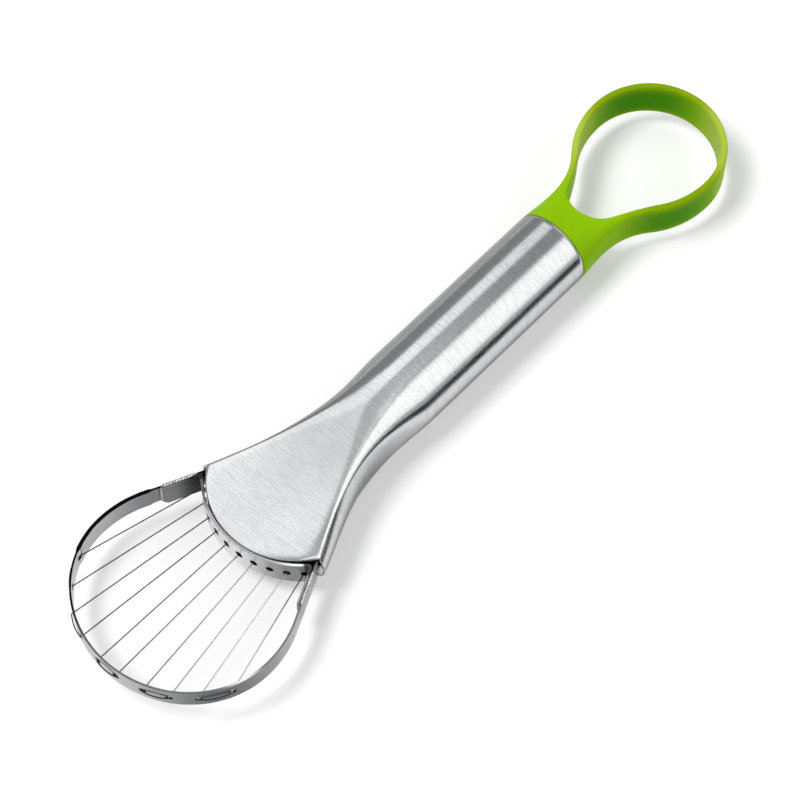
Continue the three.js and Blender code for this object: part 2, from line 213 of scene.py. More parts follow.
def make_piece(name: str, points: Array, faces: list, material: bpy.types.Material,
               sharp: float = 40.0) -> bpy.types.Object:
    """Puts points and faces into a mesh object, merged, with its faces turned outwards.

    Args:
        name: the piece's name.
        points: places in millimetres, one row each.
        faces: point numbers of each face.
        material: the piece's finish.
        sharp: edges that turn by more degrees than this stay crisp.

    Returns:
        The object, at the origin.
    """
    mesh = bpy.data.meshes.new(name)
    mesh.from_pydata((points * MM).tolist(), [], faces)
    work = bmesh.new()
    work.from_mesh(mesh)
    bmesh.ops.remove_doubles(work, verts=work.verts, dist=SAME_POINT)
    bmesh.ops.dissolve_degenerate(work, edges=work.edges, dist=NO_LENGTH)
    bmesh.ops.recalc_face_normals(work, faces=work.faces)
    work.to_mesh(mesh)
    work.free()
    mesh.shade_smooth()
    mesh.set_sharp_from_angle(angle=math.radians(sharp))
    mesh.materials.append(material)
    piece = bpy.data.objects.new(name, mesh)
    bpy.context.scene.collection.objects.link(piece)
    return piece


def places_of(piece: bpy.types.Object) -> Array:
    """Places of a piece's points in millimetres, one row each."""
    flat = np.empty(len(piece.data.vertices) * 3, dtype=np.float32)
    piece.data.vertices.foreach_get("co", flat)
    return flat.reshape(-1, 3).astype(float) / MM


def stage_sheet(name: str, points: Array, faces: Array, material: bpy.types.Material) -> bpy.types.Object:
    """Makes a sheet that belongs to the studio and not to the tool.

    Args:
        name: the sheet's name.
        points: places in millimetres, one row each.
        faces: point numbers of each face.
        material: the sheet's finish.

    Returns:
        The object.
    """
    mesh = bpy.data.meshes.new(name)
    mesh.from_pydata((points * MM).tolist(), [], faces.tolist())
    mesh.materials.append(material)
    sheet = bpy.data.objects.new(name, mesh)
    bpy.context.scene.collection.objects.link(sheet)
    return sheet


def placed(right: Array, up: Array, back: Array, at: Array) -> Matrix:
    """Turns three axes and a place into a world matrix.

    Args:
        right: direction of the object's own X.
        up: direction of its Y.
        back: direction of its Z, which a lamp or a camera turns its back to.
        at: its place in millimetres.

    Returns:
        The matrix.
    """
    place = np.eye(4)
    place[:3, :3] = np.stack([right, up, back], axis=1)
    place[:3, 3] = np.asarray(at) * MM
    return Matrix(place.tolist())


def mark(piece: bpy.types.Object, name: str, values: Array) -> None:
    """Keeps one number for each point of a piece as an attribute that its finish reads.

    Args:
        piece: the object.
        name: the attribute's name.
        values: one number for each point.
    """
    layer = piece.data.attributes.new(name, "FLOAT", "POINT")
    layer.data.foreach_set("value", values.astype(np.float32))


def attach(piece: bpy.types.Object) -> None:
    """Lets a piece ride on the tool.

    Args:
        piece: the finished object.
    """
    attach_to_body(piece, BODY)
    LOG.info("%s rides on the tool: %d faces", piece.name, len(piece.data.polygons))


def stand_for(piece: bpy.types.Object, node: str) -> None:
    """Hands a piece to the frame in place of a node.

    Args:
        piece: the finished object.
        node: the node that it replaces.
    """
    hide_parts(node)
    LOG.info("%s stands for %s", piece.name, node)
    attach(piece)


@dataclass(frozen=True)
class ScratchedSteel:
    """Stainless steel whose scratches all run one way: brushed tube, rolled strip or drawn wire.

    The eye gets soft stripes of reflected light that break up into fine lines across the brushing.
    Scratches are about 0.05 mm wide on the real sheet and are drawn several times coarser to show.
    """

    name: str
    colour: str
    dull_colour: str
    grazing_colour: str
    roughness: float
    roughness_range: float = 0.05
    run: GrainRun = GrainRun.LEVEL
    line_mm: float = 0.45
    line_length_mm: float = 8.0
    line_break: float = 0.65
    grain_mm: float = 0.6
    grain_share: float = 0.5
    grain_tone: float = 0.0
    cloud_mm: float = 9.0
    depth_um: float = 2.0
    streak_band: tuple[float, float] = (0.34, 0.66)
    spread: float = 0.0
    spread_turn: float = 0.25
    tint: str = ""
    tint_colour: str = "#000000"

    def material(self) -> bpy.types.Material:
        """Builds the finish.

        Returns:
            A metal whose colour, roughness and bump follow stretched noise in the brushing's direction.
        """
        made, tree = new_material(self.name)
        place = add_node(tree, "ShaderNodeTexCoord").outputs["Object"]
        across = np.array(self.run.value)
        counts = across / (self.line_mm * MM) + (1.0 - across) / (self.line_length_mm * MM)
        lines_at = add_node(tree, "ShaderNodeMapping", {"Scale": counts.tolist()}, {"Vector": place})
        lines = add_node(
            tree, "ShaderNodeTexNoise", {"Scale": 1.0, "Detail": 4.0, "Roughness": self.line_break},
            {"Vector": lines_at.outputs["Vector"]},
        ).outputs["Fac"]
        grain = add_node(
            tree, "ShaderNodeTexNoise", {"Scale": 1.0 / (self.grain_mm * MM), "Detail": 2.0},
            {"Vector": place},
        ).outputs["Fac"]
        cloud = add_node(
            tree, "ShaderNodeTexNoise", {"Scale": 1.0 / (self.cloud_mm * MM), "Detail": 3.0},
            {"Vector": place},
        ).outputs["Fac"]
        marks = add_node(
            tree, "ShaderNodeMix", {"Factor": self.grain_tone}, {"A": lines, "B": grain}, data_type="FLOAT",
        ).outputs["Result"]
        streak = add_node(
            tree, "ShaderNodeMapRange",
            {"From Min": self.streak_band[0], "From Max": self.streak_band[1]}, {"Value": marks},
        ).outputs["Result"]
        height = add_node(
            tree, "ShaderNodeMath", {1: self.grain_share}, {0: grain, 2: lines}, operation="MULTIPLY_ADD",
        ).outputs[0]
        bump = add_node(
            tree, "ShaderNodeBump", {"Strength": 1.0, "Distance": self.depth_um * MICRON}, {"Height": height},
        ).outputs["Normal"]
        shade = add_node(
            tree, "ShaderNodeMix", {"A": linear(self.dull_colour), "B": linear(self.colour)},
            {"Factor": streak}, data_type="RGBA",
        ).outputs["Result"]
        if self.tint:
            amount = add_node(tree, "ShaderNodeAttribute", attribute_name=self.tint).outputs["Fac"]
            shade = add_node(
                tree, "ShaderNodeMix", {"B": linear(self.tint_colour)}, {"Factor": amount, "A": shade},
                data_type="RGBA",
            ).outputs["Result"]
        rough = add_node(
            tree, "ShaderNodeMapRange",
            {"From Min": NOISE_BAND[0], "From Max": NOISE_BAND[1],
             "To Min": self.roughness - self.roughness_range,
             "To Max": self.roughness + self.roughness_range},
            {"Value": cloud},
        ).outputs["Result"]
        shader = add_node(
            tree, "ShaderNodeBsdfPrincipled",
            {"Metallic": 1.0, "Anisotropic": self.spread, "Anisotropic Rotation": self.spread_turn,
             "Specular Tint": linear(self.grazing_colour)},
            {"Base Color": shade, "Roughness": rough, "Normal": bump},
        )
        if self.spread > 0.0:
            tangent = add_node(tree, "ShaderNodeTangent", direction_type="RADIAL", axis="X")
            tree.links.new(tangent.outputs["Tangent"], shader.inputs["Tangent"])
        add_node(tree, "ShaderNodeOutputMaterial", None, {"Surface": shader.outputs["BSDF"]})
        return made


@dataclass(frozen=True)
class MouldedPolypropylene:
    """Lime green polypropylene from a lightly eroded mould.

    The eye gets an even strong colour with a soft sheen, a faint mottle and a little light passing into it.
    Painted shade deepens the band's core on two sides and darkens its edges, and painted light pales the
    sides between.
    """

    name: str = "lime_polypropylene_moulded"
    colour: str = "#8cbc07"
    deep_colour: str = "#82b203"
    core_shade_colour: str = "#499100"
    edge_shade_colour: str = "#8a9f08"
    side_light_colour: str = "#a4bc40"
    mottle_mm: float = 4.0
    texture_mm: float = 0.5
    texture_depth_um: float = 3.0
    roughness: float = 0.45
    roughness_range: float = 0.05
    ior: float = 1.49
    sheen_level: float = 0.03
    glow: float = 0.3
    glow_mm: float = 2.0
    glow_reach: tuple[float, float, float] = (0.6, 1.0, 0.15)

    def material(self) -> bpy.types.Material:
        """Builds the finish.

        Returns:
            A plastic with mottled colour, fine mould texture and a short depth of scattered light.
        """
        made, tree = new_material(self.name)
        place = add_node(tree, "ShaderNodeTexCoord").outputs["Object"]
        mottle = add_node(
            tree, "ShaderNodeTexNoise", {"Scale": 1.0 / (self.mottle_mm * MM), "Detail": 3.0},
            {"Vector": place},
        ).outputs["Fac"]
        skin = add_node(
            tree, "ShaderNodeTexNoise", {"Scale": 1.0 / (self.texture_mm * MM), "Detail": 2.0},
            {"Vector": place},
        ).outputs["Fac"]
        tone = add_node(
            tree, "ShaderNodeMix", {"A": linear(self.deep_colour), "B": linear(self.colour)},
            {"Factor": mottle}, data_type="RGBA",
        ).outputs["Result"]
        # Painted shade in the band's core and at its edges, and painted light on its sides
        layers = {"band_edge_painted_shade": self.edge_shade_colour, "core_painted_shade": self.core_shade_colour, "side_painted_light": self.side_light_colour}
        for layer, colour in layers.items():
            amount = add_node(tree, "ShaderNodeAttribute", attribute_name=layer).outputs["Fac"]
            tone = add_node(
                tree, "ShaderNodeMix", {"B": linear(colour)}, {"Factor": amount, "A": tone}, data_type="RGBA",
            ).outputs["Result"]
        rough = add_node(
            tree, "ShaderNodeMapRange",
            {"From Min": NOISE_BAND[0], "From Max": NOISE_BAND[1],
             "To Min": self.roughness - self.roughness_range,
             "To Max": self.roughness + self.roughness_range},
            {"Value": mottle},
        ).outputs["Result"]
        bump = add_node(
            tree, "ShaderNodeBump", {"Strength": 1.0, "Distance": self.texture_depth_um * MICRON},
            {"Height": skin},
        ).outputs["Normal"]
        shader = add_node(
            tree, "ShaderNodeBsdfPrincipled",
            {"Metallic": 0.0, "IOR": self.ior, "Specular IOR Level": self.sheen_level,
             "Subsurface Weight": self.glow, "Subsurface Scale": self.glow_mm * MM,
             "Subsurface Radius": self.glow_reach},
            {"Base Color": tone, "Roughness": rough, "Normal": bump},
        )
        add_node(tree, "ShaderNodeOutputMaterial", None, {"Surface": shader.outputs["BSDF"]})
        return made


@dataclass(frozen=True)
class PaperFloor:
    """White seamless paper: matt, with no more than a trace of tooth."""

    name: str = "white_paper_floor"
    colour: str = "#dcdcdc"
    lift: float = 0.29

    def material(self) -> bpy.types.Material:
        """Builds the finish.

        Returns:
            A matt white that is lifted to the background's white for the eye, mirrors and glass alike.
        """
        made, tree = new_material(self.name)
        paper = add_node(tree, "ShaderNodeBsdfDiffuse", {"Color": linear(self.colour), "Roughness": 1.0})
        ray = add_node(tree, "ShaderNodeLightPath").outputs
        seen = ray["Is Camera Ray"]
        for kind in ("Is Glossy Ray", "Is Transmission Ray"):
            seen = add_node(
                tree, "ShaderNodeMath", None, {0: seen, 1: ray[kind]}, operation="MAXIMUM",
            ).outputs[0]
        strength = add_node(
            tree, "ShaderNodeMath", {1: self.lift}, {0: seen}, operation="MULTIPLY",
        ).outputs[0]
        glow = add_node(tree, "ShaderNodeEmission", None, {"Strength": strength})
        both = add_node(
            tree, "ShaderNodeAddShader", None, {0: paper.outputs["BSDF"], 1: glow.outputs["Emission"]},
        )
        add_node(tree, "ShaderNodeOutputMaterial", None, {"Surface": both.outputs["Shader"]})
        return made


# Brushed tube: long soft stripes of light that break up into fine lines round the tool, and painted shade on
# the plate
BRUSHED_TUBE = ScratchedSteel(
    name="stainless_tube_brushed", colour="#dfe0e2", dull_colour="#b5b6b8", grazing_colour="#bcbcbc",
    roughness=0.25, roughness_range=0.02, run=GrainRun.ROUND_TOOL, line_mm=0.2, line_length_mm=5.0,
    grain_mm=0.3, grain_share=0.4, depth_um=1.8, grain_tone=0.45, spread=0.7, tint="painted_shade_tint",
    tint_colour="#8e8f91",
)
# Inside of the tube: coarser than the outside, with its grey painted dark as shade inside the mouth
TUBE_INSIDE_SHADED = ScratchedSteel(
    name="stainless_tube_inside_painted_shade", colour="#6e6f71", dull_colour="#57585a", grazing_colour="#bcbcbc",
    roughness=0.5, roughness_range=0.08, run=GrainRun.ROUND_TOOL, line_mm=0.5, line_length_mm=2.0,
    grain_share=0.8, depth_um=3.0,
)
# Rolled strip of the loop: nearly a mirror, with painted shade towards the left leg, on the front right and
# round its holes
LOOP_STEEL = ScratchedSteel(
    name="stainless_loop_strip_rolled", colour="#e2e3e4", dull_colour="#cfd0d2", grazing_colour="#d8d8d8",
    roughness=0.25, tint="tint_and_painted_shade", tint_colour="#5a5b5d",
)
# Sheared edge of the loop's strip: bright and grainy, with painted shade that darkens it almost all round,
# most towards the left, and round its holes
SHEARED_EDGE = ScratchedSteel(
    name="stainless_strip_edge_sheared", colour="#eeeeef", dull_colour="#cfd0d2", grazing_colour="#e0e0e0",
    roughness=0.4, roughness_range=0.08, line_mm=0.2, line_length_mm=0.6, grain_mm=0.4, grain_share=0.8,
    depth_um=4.0, tint="strip_edge_painted_shade", tint_colour="#0e0e0f",
)
# Rolled strip of the comb: pale and soft, with painted shade towards the right, along its top edge and round
# its holes; its tabs are dark from the weld's heat and painted shade
COMB_STEEL = ScratchedSteel(
    name="stainless_comb_strip_rolled", colour="#f8f8f9", dull_colour="#ececed", grazing_colour="#e8e8e8",
    roughness=0.42, tint="tint_and_painted_shade", tint_colour="#303133",
)
# Drawn wire: pale thin lines, with painted shade on the stitches, in the comb's holes and towards the left
DRAWN_WIRE = ScratchedSteel(
    name="stainless_wire_drawn", colour="#fafafa", dull_colour="#eeeeef", grazing_colour="#f0f0f0",
    roughness=0.3, line_mm=0.3, line_length_mm=6.0, grain_mm=0.4, depth_um=1.0, tint="tint_and_painted_shade",
    tint_colour="#4a4b4d",
)
# Fused weld: lumpy, with bright and grey spots
WELD_STEEL = ScratchedSteel(
    name="stainless_weld_bead_fused", colour="#e2e3e5", dull_colour="#7c7d7f", grazing_colour="#d0d0d0",
    roughness=0.35, roughness_range=0.1, line_mm=0.5, line_length_mm=0.5, grain_mm=0.3, grain_share=0.9,
    depth_um=12.0,
)


@dataclass
class Handle:
    """The tube, round at the ring and pressed out to a flat mouth with a bowed lip at the loop."""

    lip_x: float = LIP_X
    mouth_x: float = MOUTH_X
    round_x: float = -7.215
    end_x: float = TUBE_END
    axis_z: float = AXIS_Z
    radius: float = TUBE_RADIUS
    wall: float = 0.8
    mouth_half: float = 4.6
    plate_half: float = 19.916
    mouth_edge: float = 0.9
    mouth_turn: float = math.radians(46.0)
    tube_turn: float = math.radians(88.0)
    side_flat: float = 0.75
    plate_taper: float = 1.35
    edge_ease: tuple[float, float] = (2.8, 1.4)
    rise_ease: tuple[float, float] = (1.5, 1.8)
    mouth_bend: float = math.radians(8.7)
    neck_bend: float = math.radians(16.0)
    neck_bend_at: tuple[float, float] = (0.45, 0.80)
    mouth_margin: float = 1.16
    corner_margin: float = 2.2
    corner_reach: float = 0.14
    neck_margin: float = 3.2
    neck_margin_at: tuple[float, float] = (0.35, 0.75)
    # Painted shade on the plate's top: where it narrows into the tube, and in a band along the lip and side
    # at its right front corner
    flare_shade: float = 0.24
    flare_shade_rise: tuple[float, float] = (0.08, 0.5)
    flare_shade_fall: tuple[float, float] = (0.78, 1.0)
    shade_edge_fade: tuple[float, float] = (0.1, 0.35)
    corner_shade: float = 0.75
    corner_shade_from: tuple[float, float] = (4.0, 16.0)
    corner_shade_until: tuple[float, float] = (0.05, 0.4)
    corner_shade_width: float = 2.8
    lip_drop: float = 0.15
    lip_margin: float = 1.3
    lip_crown_from: float = 0.45
    rim_round: float = 0.15
    quarter_steps: int = 64
    length_steps: int = 150
    row_crowding: float = 1.2
    rim_steps: int = 5
    turn_weight: float = 0.6
    crisp_from: float = 60.0

    def sizes(self, x: Array) -> tuple[Array, Array, Array, Array]:
        """Section sizes along the tool.

        Args:
            x: places along the tool.

        Returns:
            Half width of the plate, radius of the rolled edge, its turn, and half height.
        """
        flare = np.clip((x - self.mouth_x) / (self.round_x - self.mouth_x), 0.0, 1.0)
        rise = np.clip((x - self.lip_x) / (self.round_x - self.lip_x), 0.0, 1.0)
        plate = self.plate_half * (1.0 - flare) ** self.plate_taper
        edge = lerp(self.mouth_edge, self.radius, eased(flare, self.edge_ease))
        turn = lerp(self.mouth_turn, self.tube_turn, smooth(flare / self.side_flat))
        half = lerp(self.mouth_half, self.radius, eased(rise, self.rise_ease))
        return plate, edge, turn, half

    def section(self, x: Array, share: Array) -> tuple[Array, Array, Array]:
        """A quarter of the section: half the plate, its bend, the rolled edge, then the bulging side.

        The share runs from the middle of the plate to the middle of the side. It counts both length and turn,
        so that tight bends get as many points as long flats. The plate is flat up to a margin. The bend is an
        arc whose radius is the edge's plus the margin over the sine of the bend's turn, so that the edge's
        arc goes on from it without a kink and ends where it would with no bend at all. The side is an arc
        about the axis that takes over where the edge has made its turn. Near the plate's front corners the
        lip drops by the square of the way into its own margin.

        Args:
            x: places along the tool.
            share: how far round the quarter, from 0 to 1.

        Returns:
            Distance from the middle plane, height above the axis, and the normal's angle from upright.
        """
        held = np.maximum(x, self.mouth_x)
        flare = np.clip((held - self.mouth_x) / (self.round_x - self.mouth_x), 0.0, 1.0)
        plate, edge, turn, half = self.sizes(held)
        start = lerp(self.mouth_bend, self.neck_bend, between(flare, self.neck_bend_at))
        margin = lerp(self.mouth_margin, self.neck_margin, between(flare, self.neck_margin_at))
        margin = margin + self.corner_margin * (1.0 - between(flare, (0.0, self.corner_reach)))
        margin = np.minimum(margin, plate)
        flat = plate - margin
        bend = edge + margin / np.sin(start)
        drop = bend * (1.0 - np.cos(start))
        side = (half - drop - edge * (np.cos(start) - np.cos(turn))) / np.cos(turn)
        square = math.pi / 2.0
        lengths = np.cumsum(np.broadcast_arrays(
            flat, bend * start, edge * (turn - start), side * (square - turn),
        ), axis=0)
        turned = np.stack(np.broadcast_arrays(0.0 * flat, start, turn, square))
        ends = lerp(lengths / lengths[3], turned / square, self.turn_weight)
        flat_end, bend_end, edge_end = np.maximum(ends[0], TINY), ends[1], ends[2]
        on_bend = start * np.clip((share - flat_end) / (bend_end - flat_end), 0.0, 1.0)
        on_edge = (turn - start) * np.clip((share - bend_end) / (edge_end - bend_end), 0.0, 1.0)
        on_side = (square - turn) * np.clip((share - edge_end) / (1.0 - edge_end), 0.0, 1.0)
        rolled = on_bend + on_edge
        angle = rolled + on_side
        y = flat * np.clip(share / flat_end, 0.0, 1.0) + bend * np.sin(on_bend)
        y = y + edge * (np.sin(rolled) - np.sin(on_bend)) + side * (np.sin(angle) - np.sin(rolled))
        at_lip = np.clip(1.0 - (x - self.lip(y)) / self.lip_margin, 0.0, 1.0)
        near_corner = between(np.abs(y) / self.corner(), (self.lip_crown_from, 1.0))
        lip_drop = self.lip_drop * near_corner * at_lip ** 2
        z_plate = self.sizes(x)[3] - bend * (1.0 - np.cos(on_bend)) - lip_drop
        z_edge = z_plate - edge * (np.cos(on_bend) - np.cos(rolled))
        z = np.where(on_side > 0.0, side * np.cos(angle), z_edge)
        return y, z, angle

    def corner(self) -> float:
        """Distance of the mouth's corners from the middle plane."""
        return self.plate_half + self.mouth_edge * math.sin(self.mouth_turn)

    def lip(self, y: Array) -> Array:
        """Front edge: a circle through the mouth's corners and the lip's middle, straight beyond them."""
        corner = self.corner()
        bulge = self.mouth_x - self.lip_x
        bow = (corner ** 2 + bulge ** 2) / (2.0 * bulge)
        held = np.minimum(np.abs(y), corner)
        return self.lip_x + bow - np.sqrt(bow ** 2 - held ** 2)

    def plate_painted_shade(self, places: Array) -> Array:
        """How much painted shade darkens the top of the sheet.

        Painted shade darkens it where the plate narrows into the tube, and more in a band along the lip and
        the side at the plate's right front corner.

        Args:
            places: points of the shell.

        Returns:
            One number for each point, 0 where no shade is painted.
        """
        x, y, z = places.T
        flare = (x - self.mouth_x) / (self.round_x - self.mouth_x)
        plate, edge, _, _ = self.sizes(x)
        past_plate = (np.abs(y) - plate) / edge
        along = between(flare, self.flare_shade_rise) * (1.0 - between(flare, self.flare_shade_fall))
        band = (0.0, self.corner_shade_width)
        at_lip = 1.0 - between(x - self.lip(y), band)
        at_side = 1.0 - between(plate - np.abs(y), band)
        at_side = at_side * (1.0 - between(flare, self.corner_shade_until))
        at_corner = np.maximum(at_lip, at_side) * between(-y, self.corner_shade_from)
        shade_amount = np.maximum(self.flare_shade * along, self.corner_shade * at_corner)
        return shade_amount * (1.0 - between(past_plate, self.shade_edge_fade)) * (z > self.axis_z)

    def build(self) -> bpy.types.Object:
        """Makes the shell as one closed grid.

        Columns go once round the section. Rows go along the outside from the ring's end to the lip, over the
        rounded lip, back along the inside and over the rounded end. Wall thickness is taken off along the
        section's normal.

        Returns:
            The handle's object.
        """
        quarter = np.arange(self.quarter_steps) / self.quarter_steps
        share = np.concatenate([quarter, 1.0 - quarter, quarter, 1.0 - quarter])[None, :]
        ones = np.ones(self.quarter_steps)
        y_sign = np.concatenate([ones, ones, -ones, -ones])[None, :]
        z_sign = np.concatenate([ones, -ones, -ones, ones])[None, :]
        front = self.lip(self.section(np.full_like(share, self.mouth_x), share)[0])
        along = (np.arange(self.length_steps + 1) / self.length_steps)[:, None] ** self.row_crowding
        rim = (np.arange(1, self.rim_steps) / self.rim_steps)[:, None]
        nose = self.rim_round * np.sqrt(1.0 - (2.0 * rim - 1.0) ** 2)
        outside = front + (self.end_x - front) * along
        x_base = np.concatenate([
            outside[::-1], np.repeat(front, len(rim), axis=0), outside,
            np.full((len(rim), share.shape[1]), self.end_x),
        ])
        shift = np.concatenate([np.zeros_like(along), -nose, np.zeros_like(along), nose])
        inset = self.wall * np.concatenate([np.zeros_like(along), rim, np.ones_like(along), 1.0 - rim])
        y, z, angle = self.section(x_base, share)
        points = np.stack([
            x_base + shift,
            y_sign * (y - inset * np.sin(angle)),
            self.axis_z + z_sign * (z - inset * np.cos(angle)),
        ], axis=-1)
        faces = grid_faces(points.shape[0], points.shape[1], True, True)
        finish = BRUSHED_TUBE.material()
        piece = make_piece("handle", points.reshape(-1, 3), faces.tolist(), finish, self.crisp_from)
        piece.data.materials.append(TUBE_INSIDE_SHADED.material())
        inside_row = np.repeat(np.arange(points.shape[0]) > self.length_steps + len(rim), points.shape[1])
        piece.data.polygons.foreach_set("material_index", inside_row.astype(np.int32))
        # Painted shade on the plate's top
        mark(piece, "painted_shade_tint", self.plate_painted_shade(places_of(piece)))
        stand_for(piece, "handle_shell")
        return piece


@dataclass
class StripShape:
    """A perforated strip standing on edge along a path in plan, made as a sheet and then thickened."""

    height: float
    thickness: float
    hole: float
    axis_z: float = AXIS_Z
    patch_half: float = 1.55
    step: float = 0.7
    rows: int = 8
    rings: int = 4
    ring_crowding: float = 1.8
    edge_round: float = 0.15
    edge_steps: int = 3
    edge_from: float = 50.0
    crisp_from: float = 60.0
    hole_shade_width: float = 0.35
    finish: ScratchedSteel = LOOP_STEEL
    edge_finish: ScratchedSteel | None = None

    def sheet(self, path: Array, holes: Array, reach: Array) -> tuple[Array, list]:
        """The strip's middle surface, with its holes.

        Plain panels are grids of place along the path against height. Each hole sits in a patch that blends
        from a circle at the hole to the patch's rectangle, whose sides match the panels beside it.

        Args:
            path: points in plan along the middle of the strip.
            holes: middles of the holes in plan.
            reach: shares of the half height that the strip keeps above and below, for each point of the path.

        Returns:
            Points and faces.
        """
        gaps = np.hypot(*np.diff(path, axis=0).T)
        run = np.concatenate([[0.0], np.cumsum(gaps)])
        apart = np.hypot(path[:, None, 0] - holes[None, :, 0], path[:, None, 1] - holes[None, :, 1])
        places = np.sort(run[np.argmin(apart, axis=0)])
        level = (np.arange(self.rows + 1) / self.rows - 0.5) * self.height
        starts = np.concatenate([[0.0], places + self.patch_half])
        ends = np.concatenate([places - self.patch_half, [run[-1]]])
        grids = []
        faces = []
        count = 0
        for start, end in zip(starts, ends):
            columns = max(int(math.ceil((end - start) / self.step)), 1) + 1
            along, up = np.meshgrid(np.linspace(start, end, columns), level, indexing="ij")
            grids.append(np.stack([along.ravel(), up.ravel()], axis=1))
            faces.append(grid_faces(columns, self.rows + 1, False, False) + count)
            count += along.size
        side = np.arange(self.rows) / self.rows * 2.0 - 1.0
        full = np.ones(self.rows)
        border = np.stack([
            np.concatenate([side, full, -side, -full]), np.concatenate([-full, side, full, -side]),
        ], axis=1)
        angle = np.arctan2(border[:, 1], border[:, 0])
        circle = self.hole / 2.0 * np.stack([np.cos(angle), np.sin(angle)], axis=1)
        border = border * np.array([self.patch_half, self.height / 2.0])
        blend = (np.arange(self.rings + 1) / self.rings)[:, None, None] ** self.ring_crowding
        patch = lerp(circle[None], border[None], blend).reshape(-1, 2)
        patch_faces = grid_faces(self.rings + 1, len(border), False, True)
        for place in places:
            grids.append(patch + np.array([place, 0.0]))
            faces.append(patch_faces + count)
            count += len(patch)
        flat = np.concatenate(grids)
        above = np.interp(flat[:, 0], run, reach[:, 0])
        below = np.interp(flat[:, 0], run, reach[:, 1])
        share = np.where(flat[:, 1] > 0.0, above, below)
        points = np.stack([
            np.interp(flat[:, 0], run, path[:, 0]),
            np.interp(flat[:, 0], run, path[:, 1]),
            self.axis_z + flat[:, 1] * share,
        ], axis=1)
        return points, np.concatenate(faces).tolist()

    def build(self, name: str, path: Array, holes: Array, reach: Array) -> bpy.types.Object:
        """Makes the strip's object, thickened evenly about its middle surface, with eased edges.

        Args:
            name: the piece's name.
            path: points in plan along the middle of the strip.
            holes: middles of the holes in plan.
            reach: shares of the half height kept above and below, for each point of the path.

        Returns:
            The strip's object.
        """
        points, faces = self.sheet(path, holes, reach)
        piece = make_piece(name, points, faces, self.finish.material(), self.crisp_from)
        wall = piece.modifiers.new("wall", "SOLIDIFY")
        wall.thickness = self.thickness * MM
        wall.offset = 0.0
        wall.use_even_offset = True
        ease = piece.modifiers.new("eased_edges", "BEVEL")
        ease.width = self.edge_round * MM
        ease.segments = self.edge_steps
        ease.limit_method = "ANGLE"
        ease.angle_limit = math.radians(self.edge_from)
        ease.harden_normals = True
        if self.edge_finish is not None:
            piece.data.materials.append(self.edge_finish.material())
            wall.material_offset_rim = 1
            ease.material = 0
        return piece

    def hole_shade(self, places: Array, holes: Array) -> Array:
        """Painted shade round the holes: 1 at a hole's edge, and 0 from the shade's width away from it.

        Args:
            places: points of the strip.
            holes: middles of the holes in plan.

        Returns:
            One number for each point.
        """
        middles = np.column_stack([holes, np.full(len(holes), self.axis_z)])
        apart = np.linalg.norm(places[:, None, :] - middles[None, :, :], axis=2).min(axis=1)
        return 1.0 - smooth((apart - self.hole / 2.0) / self.hole_shade_width)


